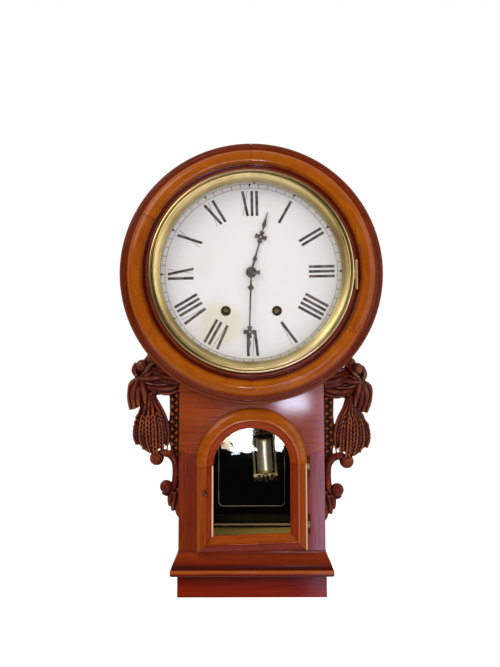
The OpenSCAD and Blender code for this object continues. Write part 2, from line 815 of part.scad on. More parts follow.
module hour_wheel() {
    teeth = 48;
    size = 0.8;
    color("goldenrod") at_dial() difference() {
        union() {
            wheel(centre_at, hour_depth, wheel_t, teeth, size,
                mesh(0, 12, teeth, direction(motion_at, centre_at)), 0.36, 0);
            rod(centre_at, 4, hour_depth, hour_hand_depth + hand_t);
        }
        rod(centre_at, centre_r + pivot_fit, hour_depth - 1, bezel_face);
    }
}

// Hands of pressed steel: a tapered arm with a swelling, an open cross and a spear point.
module hand(depth, turn, length, hub, cross_at, cross_r, swell_at, spear_w) {
    far = depth + hand_t;
    spear_at = cross_at + cross_r + 8;
    difference() {
        rotate([0, -turn, 0]) {
            board(depth, far) circle(hub);
            board(depth, far) polygon([[-2.2, 0], [-1.5, cross_at], [1.5, cross_at],
                [2.2, 0]]);
            board(depth, far) polygon([[0, swell_at - 12], [3.6, swell_at],
                [0, swell_at + 16], [-3.6, swell_at]]);
            board(depth, far) polygon([[-1, cross_at], [-spear_w, spear_at], [0, length],
                [spear_w, spear_at], [1, cross_at]]);
            for (a = [45 : 90 : 315])
                rod([0, cross_at] + polar(cross_r * 0.62, a), cross_r * 0.46, depth, far);
            rod([0, cross_at], cross_r * 0.7, depth, far);
        }
        rotate([0, -turn, 0]) rod([0, cross_at], cross_r * 0.36, depth - 1, far + 1);
        children();
    }
}

minute_angle = -6 * minute_now;
hour_angle = minute_angle / 12;
module minute_hand() {
    color("gray") at_dial()
        hand(minute_hand_depth, minute_angle, minute_len, 6.5, 100, 7, 26, 3)
            square_rod(centre_at, 2.4 + 2 * pivot_fit, minute_hand_depth - 1,
                minute_hand_depth + hand_t + 1);
}

module hour_hand() {
    color("gray") at_dial() hand(hour_hand_depth, hour_angle, hour_len, 9.5, 62, 8.5, 24, 4.6)
        rod(centre_at, 4, hour_hand_depth - 1, hour_hand_depth + hand_t + 1);
}

// Washer and taper pin that hold the minute hand on its square.
module hand_pin() {
    washer_t = 0.8;
    near = minute_hand_depth + hand_t;
    color("gray") at_dial() {
        difference() {
            rod(centre_at, 4.2, near, near + washer_t);
            square_rod(centre_at, 2.4 + 2 * pivot_fit, near - 1, near + washer_t + 1);
        }
        translate([1.25, -near - washer_t - 0.6, 0]) rotate([0, 90, 0])
            cylinder(9, 0.6, 0.6);
    }
}

module strike_pin_wheel() {
    pins = 6;
    pin_circle = 14;
    color("goldenrod") at_dial() {
        arbor(pin_wheel_at);
        lantern_pinion(pin_wheel_at, great_depth, great_t, great_module,
            mesh(0, great_teeth, lantern, direction(strike_great_at, pin_wheel_at)));
        wheel(pin_wheel_at, pin_depth, wheel_t, train_teeth, train_module, 0, 0.4, 0);
        for (i = [0 : pins - 1])
            rod(pin_wheel_at + polar(pin_circle, 360 * i / pins + 15), 0.6, pin_depth - 3,
                pin_depth + wheel_t / 2);
    }
}

module strike_locking_wheel() {
    color("goldenrod") at_dial() {
        arbor(locking_at);
        lantern_pinion(locking_at, pin_depth, wheel_t, train_module,
            mesh(0, train_teeth, lantern, direction(pin_wheel_at, locking_at)));
        wheel(locking_at, third_depth, wheel_t, locking_teeth, fast_module, 0, 0.4, 4);
    }
}

module strike_fly() {
    fan_r = 12.5;
    color("goldenrod") at_dial() {
        arbor(fly_at);
        lantern_pinion(fly_at, third_depth, wheel_t, fast_module,
            mesh(0, locking_teeth, lantern, direction(locking_at, fly_at)));
        board(plate_1 + 2, third_depth - 2.6) translate(fly_at) rotate(35)
            square([2 * fan_r, 0.6], center = true);
    }
}

// Hammer: its arbor and tail between the plates, its wire and head behind them.
module hammer() {
    head_r = 6;
    wire_r = 1.2;
    elbow_r = 1.9;
    wire_depth = plate_depth - 4;
    head_z = gong_at.y;
    tail = 10.2;
    color("slategray") at_dial() {
        rod(hammer_at, arbor_r, wire_depth - 2, plate_2 - end_shake);
        rod(hammer_at, pivot_r, plate_2 - 1, plate_3);
        board(pin_depth - 2.6, pin_depth - 1) translate(hammer_at + [0, -1])
            square([tail, 2]);
        translate([hammer_at.x, -wire_depth, head_z]) {
            cylinder(hammer_at.y - head_z, wire_r, wire_r);
            sphere(elbow_r);
        }
        rod([hammer_at.x, head_z], wire_r, gong_depth, wire_depth);
        translate([hammer_at.x - 7, -gong_depth, head_z]) rotate([0, 90, 0])
            cylinder(14, head_r, head_r);
    }
}

// Pendulum, drawn hanging plumb from its flexing point and then turned to its place.
module hanging() {
    translate([verge_at.x, -swing_depth, verge_at.y]) rotate([0, -swing_now, 0]) children();
}

tube_top = bob_len / 2 - pendulum_len;
tube_foot = -bob_len / 2 - pendulum_len;
column_rise = 9;
column_drop = 6;
socket_r = 3.6;
rod_r = 1.2;
hook_z = tube_top + 22;
module pendulum_rod() {
    spring_len = 14;
    spring_t = 0.4;
    color("slategray") at_dial() hanging() {
        translate([-spring_t / 2, -2, -spring_len]) cube([spring_t, 4, spring_len]);
        translate([0, 0, -spring_len]) sphere(1.8);
        translate([0, 0, hook_z]) cylinder(-spring_len - hook_z, rod_r, rod_r);
    }
}

module bob_tube() {
    color("silver") at_dial() hanging() translate([0, 0, tube_foot]) rotate_extrude()
        polygon([[0, 0], [bob_d / 2 - 1, 0], [bob_d / 2, 1], [bob_d / 2, bob_len - 1],
            [bob_d / 2 - 1, bob_len], [0, bob_len]]);
}

// Two brass columns twisted like rope beside the tube.
module bob_columns() {
    strand_r = 1.3;
    turns = 4;
    length = bob_len + column_rise + column_drop;
    color("goldenrod") at_dial() hanging() for (x = [-column_x, column_x])
        translate([x, 0, tube_foot - column_drop])
            linear_extrude(length, twist = -360 * turns * (x > 0 ? 1 : -1), slices = 40,
                $fn = 12) for (a = [0, 120, 240]) rotate(a) translate([strand_r * 0.8, 0])
                    circle(strand_r, $fn = 8);
}

// Turned caps, scrolled yokes and finials that join the tube and the columns.
module yoke() {
    yoke_t = 3;
    translate([0, yoke_t / 2, 0]) rotate([90, 0, 0]) linear_extrude(yoke_t) {
        translate([-column_x, -1.5]) square([2 * column_x, 3]);
        for (side = [-1, 1]) {
            translate([side * column_x, 0]) circle(socket_r);
            translate([side * column_x * 0.55, 3.2]) circle(3.4);
            translate([side * column_x * 0.3, 6.5]) circle(2.8);
        }
        translate([-4, 0]) square([8, 8]);
    }
}

module bob_mounts() {
    cap_r = bob_d / 2 + 1.6;
    foot = tube_foot - column_drop;
    head = tube_top + column_rise;
    color("goldenrod") at_dial() hanging() {
        translate([0, 0, tube_top]) rotate_extrude() polygon([[0, 0], [cap_r - 1.6, 0],
            [cap_r, 1.2], [cap_r, 2.6], [cap_r - 3, 4.4], [4, 7], [3, 11], [4.4, 13],
            [3.4, 16], [2, 18], [2, 21.8], [0, 21.8]]);
        translate([0, 0, tube_foot]) rotate_extrude() polygon([[0, 0], [cap_r - 1.6, 0],
            [cap_r, -1.2], [cap_r, -2.6], [cap_r - 3, -4.4], [5, -7], [3, -10], [4.6, -12.4],
            [4.6, -14], [2.4, -16.5], [3.4, -19], [2.6, -21.6], [0, -24]]);
        translate([0, 0, head + socket_r]) yoke();
        translate([0, 0, foot - socket_r]) mirror([0, 0, 1]) yoke();
        for (x = [-column_x, column_x], end = [[head + 7, 0], [foot - 7, 180]])
            translate([x, 0, end[0]]) rotate([end[1], 0, 0]) rotate_extrude()
                polygon([[0, -3], [1.6, -3], [1.6, -1], [2.8, 0.5], [2.2, 2.5], [0, 5]]);
    }
}

// Bezel of spun brass over the dial, with its glass, hinge and catch.
module bezel_ring() {
    wall = 2.4;
    rim_r = 2.6;
    rim = [bezel_r - rim_r, bezel_face - 2 - rim_r];
    groove = [bezel_r - 5.6, bezel_face - 4.4];
    crown_r = 1.9;
    crown = [bezel_r - 8.6, bezel_face - crown_r];
    glass_top = glass_depth + glass_t;
    color("gold") at_dial() turned() polygon(concat(
        [[bezel_r - wall, bezel_seat], [bezel_r, bezel_seat]],
        arc(rim, rim_r, 0, 140, 8), [groove], arc(crown, crown_r, 20, 150, 6),
        [[sight_r, glass_top + 1], [sight_r, glass_top], [bezel_r - wall, glass_top]]));
}

module bezel_glass() {
    color("lightcyan", 0.4) at_dial()
        rod([0, 0], bezel_r - 2.4 - 0.2, glass_depth, glass_depth + glass_t);
}

// Hinges with three knuckles on a pin: the case's plate has the outer two and the pin.
pin_fit = 0.05;
module knuckle(pin, low, high, radius) {
    translate([pin.x, -pin.y, low]) cylinder(high - low, radius, radius);
}

module knuckles(pin, foot, length, radius, part) {
    third = length / 3;
    play = 0.2;
    pin_r = radius * 0.45;
    if (part == "case") {
        for (low = [0, 2 * third]) knuckle(pin, foot + low, foot + low + third, radius);
        knuckle(pin, foot - 0.8, foot + length + 0.8, pin_r);
    } else difference() {
        union() {
            knuckle(pin, foot + third + play, foot + 2 * third - play, radius);
            children();
        }
        knuckle(pin, foot - 1, foot + length + 1, pin_r + pin_fit);
        for (low = [-1, 2 * third - play])
            knuckle(pin, foot + low, foot + low + third + play + 1, radius + play);
    }
}

bezel_knuckle_r = 2.3;
bezel_leaf_depth = seat_depth + 7;
module bezel_hinge_plate() {
    plate_w = 11;
    plate_thick = 1.4;
    foot = hinge_z - bezel_hinge_len / 2;
    third = bezel_hinge_len / 3;
    color("goldenrod") at_dial() {
        board(bezel_leaf_depth, bezel_leaf_depth + plate_thick)
            translate([bezel_pin.x - 0.6, foot]) square([plate_w, bezel_hinge_len]);
        for (low = [0, 2 * third])
            board(bezel_leaf_depth, bezel_pin.y) translate([bezel_pin.x - 0.6, foot + low])
                square([bezel_knuckle_r + 0.6, third]);
        knuckles(bezel_pin, foot, bezel_hinge_len, bezel_knuckle_r, "case");
    }
}

module bezel_leaf() {
    foot = hinge_z - bezel_hinge_len / 2;
    third = bezel_hinge_len / 3;
    color("goldenrod") at_dial() difference() {
        knuckles(bezel_pin, foot, bezel_hinge_len, bezel_knuckle_r, "leaf")
            board(bezel_pin.y - 0.7, bezel_pin.y + 0.7)
                translate([bezel_r - 3, foot + third + 0.2])
                    square([bezel_pin.x - bezel_r + 3, third - 0.4]);
        rod([0, 0], bezel_r, bezel_seat - 1, bezel_face + 1);
    }
}

module bezel_catch() {
    tab = [4, 6];
    color("goldenrod") at_dial() difference() {
        board(bezel_seat + 13, bezel_seat + 15.5)
            translate([-bezel_r - tab.x, hinge_z - tab.y / 2]) square(tab + [1, 0]);
        rod([0, 0], bezel_r + seat_gap, bezel_seat - 1, bezel_face + 1);
    }
}

// Section of the door's frame: distance in from the outer edge, and height off the boards.
function frame_section() = concat([[0, 0], [0, door_t - 7]],
    arc([6.5, door_t - 6.5], 6.5, 180, 75, 8), [[door_frame_w - 4, 7.5], [door_frame_w, 6],
    [door_frame_w, glass_rebate], [door_frame_w - 5, glass_rebate], [door_frame_w - 5, 0]]);
glass_rebate = 3.4;
door_back = face + seat_gap;

module door_arch() {
    color("brown") at_dial() difference() {
        translate([0, 0, door_spring_z]) rotate([90, 0, 0]) rotate_extrude(angle = 180)
            polygon([for (p = frame_section()) [door_x - p.x, door_back + p.y]]);
        leaf_pockets();
    }
}

// Places cut in the door's right edge for the hinge leaves.
module leaf_pockets() {
    board(face, door_pin.y + 2.8) for (z = door_hinges_at)
        translate([door_x - leaf_t, z]) square([4, door_hinge_len]);
}

module door_mitre(grow) {
    polygon([[-door_x - grow, door_foot_z - grow], [door_x + grow, door_foot_z - grow],
        [door_x - door_frame_w, door_foot_z + door_frame_w],
        [door_frame_w - door_x, door_foot_z + door_frame_w]]);
}

module door_stile(side) {
    color("brown") at_dial() difference() {
        translate([0, 0, door_foot_z]) linear_extrude(door_spring_z - door_foot_z)
            polygon([for (p = frame_section()) [side * (door_x - p.x), -door_back - p.y]]);
        board(face, face + 2 * door_t) door_mitre(2);
        if (side > 0) leaf_pockets();
        if (side < 0) rod(knob_at, spindle_r + pivot_fit, face - 1, face + 2 * door_t);
    }
}

module door_stile_left() { door_stile(-1); }
module door_stile_right() { door_stile(1); }

module door_rail() {
    color("brown") at_dial() intersection() {
        translate([-door_x, 0, 0]) rotate([0, 90, 0]) linear_extrude(door_w)
            polygon([for (p = frame_section()) [-door_foot_z - p.x, -door_back - p.y]]);
        board(face, face + 2 * door_t) door_mitre(0);
    }
}

module door_glass() {
    rebate_x = door_x - door_frame_w + 4.6;
    color("lightcyan", 0.4) at_dial() board(door_back + 1.4, door_back + glass_rebate) {
        intersection() {
            translate([0, door_spring_z]) circle(rebate_x);
            translate([-rebate_x, door_spring_z]) square([2 * rebate_x, rebate_x]);
        }
        translate([-rebate_x, door_foot_z + door_x - rebate_x])
            square([2 * rebate_x, door_spring_z - door_foot_z - door_x + rebate_x]);
    }
}

door_knuckle_r = 2.2;
door_hinge_len = 30;
leaf_t = 1.2;
door_pin = [door_x + 2.4, face + leaf_t + door_knuckle_r];
door_hinges_at = [door_spring_z - 19, door_foot_z + 27.7];
module door_hinge_plates() {
    plate_w = 4.5;
    color("goldenrod") at_dial() for (z = door_hinges_at) {
        board(face, face + leaf_t) translate([door_pin.x - 1, z])
            square([plate_w, door_hinge_len]);
        knuckles(door_pin, z, door_hinge_len, door_knuckle_r, "case");
    }
}

module door_leaves() {
    third = door_hinge_len / 3;
    color("goldenrod") at_dial() for (z = door_hinges_at) {
        knuckles(door_pin, z, door_hinge_len, door_knuckle_r, "leaf")
            board(door_back + 0.3, door_pin.y + 2.8) translate([door_x - leaf_t, z])
                square([leaf_t, door_hinge_len]);
        board(door_pin.y - 0.5, door_pin.y + 0.5) translate([door_x - leaf_t, z + third + 0.2])
            square([leaf_t + 1, third - 0.4]);
    }
}

// Turned brass knob whose spindle carries the latch behind the door's edge.
knob_at = [5 - opening_x, (door_spring_z + door_foot_z) / 2 + 26.4];
spindle_r = 2;
module door_knob() {
    latch_len = 13;
    latch_w = 5;
    collar = door_back + door_t;
    color("goldenrod") at_dial() {
        rod(knob_at, spindle_r, side_depth - 3.4, collar + 1);
        board(side_depth - 3.4, side_depth - 0.9) translate(knob_at - [latch_w / 2, latch_w / 2])
            square([latch_w, latch_len]);
        translate([knob_at.x, -collar + 0.6, knob_at.y]) rotate([90, 0, 0]) rotate_extrude()
            polygon(concat([[0, 0], [4.6, 0], [4.6, 1], [2.6, 2.4], [2.8, 4]],
                arc([0, 8.4], 5.6, -52, 90, 8)));
    }
}

back_board();
side_board_left();
side_board_right();
top_board();
floor_board();
head_board();
head_ring();
trunk_panel();
trunk_stile_left();
trunk_stile_right();
trunk_bottom_rail();
ear_left();
ear_right();
base_moulding();
base_slab();
plinth();
mirror_glass();  // mirror
hanger_plate();
dial();
dial_pins();
winding_grommets();
gong();
movement_feet();
movement_back_plate();
movement_front_plate();
suspension_cock();
mainsprings();
bezel_hinge_plate();
door_hinge_plates();
bezel_ring();
bezel_glass();
bezel_leaf();
bezel_catch();
door_arch();
door_stile_left();
door_stile_right();
door_rail();
door_glass();
door_leaves();
door_knob();
centre_arbor();
minute_hand();
hand_pin();
hour_wheel();
hour_hand();
minute_wheel();
time_great_wheel();
second_wheel();
third_wheel();
escape_wheel();
verge_and_crutch();
pendulum_rod();
bob_tube();
bob_columns();
bob_mounts();
strike_great_wheel();
strike_pin_wheel();
strike_locking_wheel();
strike_fly();
hammer();
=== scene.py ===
# The looks of a carved drop-dial wall clock, from the studio round it to its last pin.
import json
import math

import bmesh
import bpy
import numpy as np
from mathutils import Matrix, Vector


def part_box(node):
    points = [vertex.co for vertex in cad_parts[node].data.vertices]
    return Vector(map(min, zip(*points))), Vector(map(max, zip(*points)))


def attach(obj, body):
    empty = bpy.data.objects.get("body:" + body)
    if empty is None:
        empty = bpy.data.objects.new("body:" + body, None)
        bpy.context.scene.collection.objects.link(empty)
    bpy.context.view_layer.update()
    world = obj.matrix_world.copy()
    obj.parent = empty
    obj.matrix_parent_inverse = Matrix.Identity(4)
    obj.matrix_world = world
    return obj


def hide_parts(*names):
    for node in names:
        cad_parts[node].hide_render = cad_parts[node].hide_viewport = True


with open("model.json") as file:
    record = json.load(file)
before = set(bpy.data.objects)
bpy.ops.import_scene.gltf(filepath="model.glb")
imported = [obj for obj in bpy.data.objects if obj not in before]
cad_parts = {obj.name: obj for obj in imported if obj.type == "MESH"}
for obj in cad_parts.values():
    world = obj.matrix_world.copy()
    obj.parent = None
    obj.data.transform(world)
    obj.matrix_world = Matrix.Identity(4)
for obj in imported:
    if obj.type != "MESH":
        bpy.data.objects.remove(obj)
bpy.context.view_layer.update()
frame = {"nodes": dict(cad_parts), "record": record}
mm = 0.001

# The studio. The clock hangs free before a white ground and over a pale floor, as the
# photographer cut it out, with a large soft lamp high on the left and a cooler one on
# the right. The camera stands low before the door and looks up a little.
photo_height, photo_focal, sensor_height = 667, 500, 24
camera_place = Vector((-2.4, -941, -313.4)) * mm
camera_pitch, camera_roll = 4.0, -0.13


def stand(name, data):
    """Puts a new object of a mesh, a lamp or a camera into the scene."""
    made = bpy.data.objects.new(name, data)
    bpy.context.scene.collection.objects.link(made)
    return made


camera_data = bpy.data.cameras.new("photo_camera")
camera_data.sensor_fit, camera_data.sensor_height = "VERTICAL", sensor_height
camera_data.lens = sensor_height * photo_focal / photo_height
camera = stand("photo_camera", camera_data)
camera.matrix_world = (Matrix.Translation(camera_place)
                       @ Matrix.Rotation(math.radians(90 + camera_pitch), 4, "X")
                       @ Matrix.Rotation(math.radians(camera_roll), 4, "Z"))
bpy.context.scene.camera = camera
bpy.context.scene.view_settings.view_transform = "Standard"


def operator(operation, swapped=False):
    """What a sign of arithmetic does between a signal and a signal or number."""
    def compute(self, other):
        return self.math(operation, *((other, self) if swapped else (self, other)))
    return compute


class Signal:
    """A shader socket. Arithmetic on it adds Math nodes to the tree it belongs to."""

    def __init__(self, tree, socket):
        self.tree, self.socket = tree, socket

    def node(self, kind, settings=None, values=None, output=0):
        made = self.tree.nodes.new("ShaderNode" + kind)
        for name, value in (settings or {}).items():
            if name == "stops":
                ramp = made.color_ramp
                while len(ramp.elements) < len(value):
                    ramp.elements.new(1)
                for element, (position, colour) in zip(ramp.elements, value):
                    element.position, element.color = position, (*colour, 1)
            else:
                setattr(made, name, value)
        for name, value in (values or {}).items():
            if isinstance(value, Signal):
                self.tree.links.new(value.socket, made.inputs[name])
            else:
                made.inputs[name].default_value = value
        return Signal(self.tree, made.outputs[output])

    def math(self, operation, *terms, clamp=False):
        return self.node("Math", {"operation": operation, "use_clamp": clamp},
                         dict(enumerate(terms)))

    __add__, __radd__ = operator("ADD"), operator("ADD", swapped=True)
    __sub__, __rsub__ = operator("SUBTRACT"), operator("SUBTRACT", swapped=True)
    __mul__, __rmul__ = operator("MULTIPLY"), operator("MULTIPLY", swapped=True)
    __truediv__, __pow__ = operator("DIVIDE"), operator("POWER")

    def step(self, low, high):
        """0 below low, 1 above high and smooth between them; high may be the lower one."""
        return self.node("MapRange", {"interpolation_type": "SMOOTHSTEP"},
                         {"Value": self, "From Min": low, "From Max": high})

    def between(self, first, second):
        """The mix of two colours, with this signal as its share of the second."""
        colours = [(*c, 1) if isinstance(c, tuple) else c for c in (first, second)]
        return self.node("Mix", {"data_type": "RGBA"},
                         {0: self, 6: colours[0], 7: colours[1]}, output=2)

    def kept(self, name):
        """The value that each point of a piece keeps under a name."""
        return self.node("Attribute", {"attribute_name": name}, output="Fac")

    def stained(self, stain):
        """This colour under a transparent coat of a stain."""
        return self.node("Mix", {"data_type": "RGBA", "blend_type": "MULTIPLY"},
                         {0: 1.0, 6: self, 7: (*stain, 1)}, output=2)

    def ramp(self, *stops):
        return self.node("ValToRGB", {"stops": stops}, {0: self})

    def clamped(self):
        return self.math("MULTIPLY", self, 1, clamp=True)

    def part(self, axis):
        return self.node("SeparateXYZ", values={0: self}, output=axis)

    def vector(self, operation, *terms, output=0):
        return self.node("VectorMath", {"operation": operation},
                         dict(enumerate((self,) + terms)), output)

    def scaled(self, *scale):
        return self.node("Mapping", values={"Vector": self, "Scale": scale})

    def turned(self, angles):
        """A place as it is counted along a board that lies at these angles."""
        return self.node("Mapping", {"vector_type": "TEXTURE"},
                         {"Vector": self, "Rotation": angles})

    def noise(self, scale, detail=3, roughness=0.55, distortion=0.0):
        return self.node("TexNoise", values={"Vector": self, "Scale": scale, "Detail": detail,
                                             "Roughness": roughness, "Distortion": distortion})

    def bump(self, height, strength=1.0):
        """A normal from this height, of which the distance is given in metres."""
        return self.node("Bump", values={"Height": self, "Distance": height,
                                         "Strength": strength})


room_light, room_dark, room_ceiling = 0.50, 0.02, 0.32
world = bpy.data.worlds.new("studio")
bpy.context.scene.world = world
world.use_nodes = True
ground = world.node_tree.nodes["Background"]
light_path = world.node_tree.nodes.new("ShaderNodeLightPath")
seen, glossy, through = (Signal(world.node_tree, light_path.outputs[kind]) for kind in
                         ("Is Camera Ray", "Is Glossy Ray", "Is Transmission Ray"))
heading = seen.node("TexCoord")
behind = heading.part(1).step(0.05, 0.45)
overhead = heading.part(2).step(0.45, 0.9)
mirrored = glossy.math("MAXIMUM", glossy, through)
room = room_dark + (room_ceiling - room_dark) * overhead
room = room + behind * (1 - room)
level = room_light * (1 - mirrored) + room * mirrored
level = level * (1 - seen) + seen
world.node_tree.links.new(level.socket, ground.inputs["Strength"])
ground.inputs["Color"].default_value = (1, 1, 1, 1)

clock_middle = Vector((0, -0.1, -0.34))


def soft_lamp(name, place, width, height, power, colour):
    lamp = bpy.data.lights.new(name, "AREA")
    lamp.shape, lamp.size, lamp.size_y = "RECTANGLE", width, height
    lamp.energy, lamp.color = power, colour
    holder = stand(name, lamp)
    turn = (clock_middle - Vector(place)).to_track_quat("-Z", "Y").to_matrix().to_4x4()
    holder.matrix_world = Matrix.Translation(place) @ turn
    holder.visible_camera = False


# Panes of a window behind the camera are what the mirror and the polish show.
soft_lamp("high_left_lamp", (-1.75, -1.35, 1.45), 1.8, 1.6, 34, (1.0, 0.95, 0.88))
soft_lamp("right_lamp", (1.7, -0.9, 0.1), 1.6, 1.8, 13, (0.98, 0.96, 1.0))
soft_lamp("back_lamp", (0.6, 1.6, 0.9), 1.2, 1.0, 12, (1.0, 1.0, 1.0))
soft_lamp("low_sky_lamp", (0.60, -2.0, -0.97), 0.5, 1.2, 8.0, (0.70, 0.62, 1.0))
soft_lamp("high_pane_lamp", (0.235, -2.0, -0.50), 0.16, 0.08, 1.3, (0.70, 0.76, 1.0))
soft_lamp("low_pane_lamp", (-0.043, -2.0, -0.700), 0.115, 0.13, 2.6, (0.88, 0.93, 1.0))
soft_lamp("side_pane_lamp", (0.154, -2.0, -0.722), 0.047, 0.076, 0.5, (0.90, 0.94, 1.0))
soft_lamp("curtain_lamp", (-0.128, -2.0, -0.713), 0.05, 0.06, 0.16, (1.0, 0.70, 0.48))


def finish_of(name):
    """A new material: the material, its shader, and the place of a point on the piece."""
    made = bpy.data.materials.new(name)
    made.use_nodes = True
    tree = made.node_tree
    coordinates = tree.nodes.new("ShaderNodeTexCoord")
    return made, tree.nodes["Principled BSDF"], Signal(tree, coordinates.outputs["Object"])


def fill(shader, values):
    """Sets constants and links signals on a shader's sockets."""
    for name, value in values.items():
        if isinstance(value, Signal):
            value.tree.links.new(value.socket, shader.inputs[name])
        elif isinstance(value, tuple):
            shader.inputs[name].default_value = (*value, 1)
        else:
            shader.inputs[name].default_value = value


def mesh_of(bm, name):
    mesh = bpy.data.meshes.new(name)
    bm.to_mesh(mesh)
    bm.free()
    return mesh


floor_height, floor_reach, floor_shift, floor_glow = -1.25, 4.0, 3.0, 0.75
bm = bmesh.new()
bmesh.ops.create_grid(bm, x_segments=8, y_segments=8, size=floor_reach,
                      matrix=Matrix.Translation((0, floor_shift, floor_height)))
studio_floor = stand("studio_floor", mesh_of(bm, "studio_floor"))
floor_finish, shader, place = finish_of("studio_floor")
fill(shader, {"Emission Strength": place.node("LightPath") * floor_glow,
              "Emission Color": (1, 1, 1), "Base Color": (0.8, 0.8, 0.8), "Roughness": 0.9})
studio_floor.data.materials.append(floor_finish)

# The case boards: backboard, sides, top and floor in plain wood, nailed together, and
# the head board that closes the box behind the dial. The back is raw and greyed; the
# sides carry the same red-brown varnish as the front, but thinner.
upright = (0, math.radians(90), 0)
level_grain = (0, 0, 0)
fibre_long, fibre_wide, line_long, line_wide = 0.02, 0.0009, 0.09, 0.0018


def varnish(shader, colour, rough, coat, relief, coat_rough=0.1, depth=0.3):
    """A coat of clear varnish over a colour, through which the grain's relief is felt."""
    fill(shader, {"Base Color": colour, "Roughness": rough, "Coat Weight": coat,
                  "Coat Roughness": coat_rough, "Specular IOR Level": 0.06,
                  "Normal": relief.bump(0.0002, depth)})


def wood(name, pale, deep, turn=level_grain, long=0.11, wide=0.0045, gloss=0.34, coat=0.5,
         cloud=0.3):
    """Varnished wood with its grain along X, or along the way that turn gives."""
    made, shader, place = finish_of(name)
    board = place.turned(turn)
    streaks = board.scaled(1 / long, 1 / wide, 1 / wide).noise(1, 4, 0.62, 0.5)
    fibres = board.scaled(1 / fibre_long, 1 / fibre_wide, 1 / fibre_wide).noise(1, 2, 0.6)
    clouds = board.scaled(9, 22, 22).noise(1, 2, 0.5, 0.3)
    lines = board.scaled(1 / line_long, 1 / line_wide, 1 / line_wide).noise(1, 3, 0.6, 0.4)
    share = (0.70 - cloud / 2) + (streaks - 0.5) * 1.3 + (fibres - 0.5) * 0.3
    share = share - lines.step(0.54, 0.68) * 0.7 + (clouds - 0.5) * cloud * 3
    varnish(shader, share.clamped().between(deep, pale), gloss + (fibres - 0.5) * 0.12, coat,
            fibres * 0.5 + streaks * 0.5)
    return made


def dress(finish, *names):
    for name in names:
        piece = frame["nodes"][name]
        piece.data.materials.clear()
        piece.data.materials.append(finish)


def piece(name, bm, body, slot, finishes, stands_for=(), sharp=34):
    """Makes a finished object of a bmesh, which rides on a body of the frame."""
    bmesh.ops.remove_doubles(bm, verts=bm.verts, dist=2e-6)
    bmesh.ops.recalc_face_normals(bm, faces=bm.faces)
    mesh = mesh_of(bm, name)
    mesh.shade_smooth()
    mesh.set_sharp_from_angle(angle=math.radians(sharp))
    made = stand(name, mesh)
    for finish in finishes:
        mesh.materials.append(finish)
    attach(made, body)
    if stands_for:
        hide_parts(*stands_for)
    return made


def eased_board(node, slot, finish, ease=0.8, steps=2):
    """A copy of a sawn board with its edges eased, which stands for the board."""
    bm = bmesh.new()
    bm.from_mesh(frame["nodes"][node].data)
    bmesh.ops.remove_doubles(bm, verts=bm.verts, dist=1e-6)
    bmesh.ops.dissolve_limit(bm, angle_limit=math.radians(1), verts=bm.verts, edges=bm.edges)
    corners = [e for e in bm.edges
               if len(e.link_faces) == 2 and e.calc_face_angle() > math.radians(30)]
    bmesh.ops.bevel(bm, geom=corners, offset=ease * mm, offset_type="OFFSET", affect="EDGES",
                    segments=steps, profile=0.5, material=-1, clamp_overlap=True)
    made = piece(node + "_eased", bm, "root", slot, [finish], [node])
    flat = made.modifiers.new("flat_faces", "WEIGHTED_NORMAL")
    flat.keep_sharp, flat.weight = True, 100
    return made


bare_back = wood("bare_back_wood", (0.36, 0.22, 0.11), (0.17, 0.09, 0.045), upright,
                 gloss=0.7, coat=0.0)
side_wood = wood("side_wood", (0.36, 0.075, 0.012), (0.12, 0.018, 0.004), upright)
eased_board("back_board", "back_wood", bare_back, 0.5)
for board in ("side_board_left", "side_board_right", "top_board"):
    eased_board(board, "case_veneer", side_wood)
dress(side_wood, "head_board")
# The pine floor is painted a bright yellow, partly its own tone and partly painted light for the
# light that falls on it in the dark case.
dress(wood("floor_wood", (1.0, 0.80, 0.20), (0.62, 0.36, 0.06), coat=0.1), "floor_board")

# The head ring: six segments of wood glued end to end and turned on a faceplate, with
# two reeds at the rim, a broad swelling band faced with cross-grained veneer, a steep
# cove and two thin beads inside. Its colour follows the radius as painted light and shade:
# the grooves, the cove and the band's outer flank are painted dark as shade, partly also
# old varnish held in the grooves, and the beads and the band are painted lighter.
dial_low, dial_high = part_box("dial")
middle = Vector(((dial_low.x + dial_high.x) / 2, 0, (dial_low.z + dial_high.z) / 2))
ring_low, ring_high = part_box("head_ring")
rim_r, back = (ring_high.x - ring_low.x) / 2 / mm, -ring_high.y / mm


def arc(x, y, radius, start, end, steps):
    """Points along an arc, from one angle to another in degrees."""
    angles = [math.radians(start + (end - start) * i / steps) for i in range(steps + 1)]
    return [(x + radius * math.cos(a), y + radius * math.sin(a)) for a in angles]


def round_middle(radius, depth, angle):
    """A point at a radius and depth in mm and an angle anticlockwise from the right."""
    turn = math.radians(angle)
    return middle + Vector((radius * math.cos(turn), -depth, radius * math.sin(turn))) * mm


def loop_of(bm, points):
    """New corners at these points, and the edges that close them to a loop."""
    corners = [bm.verts.new(point) for point in points]
    return corners, [bm.edges.new((corners[i - 1], corners[i])) for i in range(len(corners))]


def spin_loop(bm, points, cent, sweep, steps):
    """Turns a closed loop of points about a middle, and closes its ends if it has any."""
    corners, rim = loop_of(bm, points)
    whole = sweep == 360
    turned = bmesh.ops.spin(bm, geom=corners + rim, cent=cent, axis=(0, -1, 0),
                            angle=math.radians(sweep), steps=steps, use_merge=whole)
    if not whole:
        last = [e for e in turned["geom_last"] if isinstance(e, bmesh.types.BMEdge)]
        for edges in (rim, last):
            bmesh.ops.contextual_create(bm, geom=edges)


def turn_section(bm, section, start=0.0, sweep=360, steps=144):
    """Turns a closed section of radius and depth in mm about the clock's middle."""
    spin_loop(bm, [round_middle(r, d, start) for r, d in section], middle, sweep, steps)


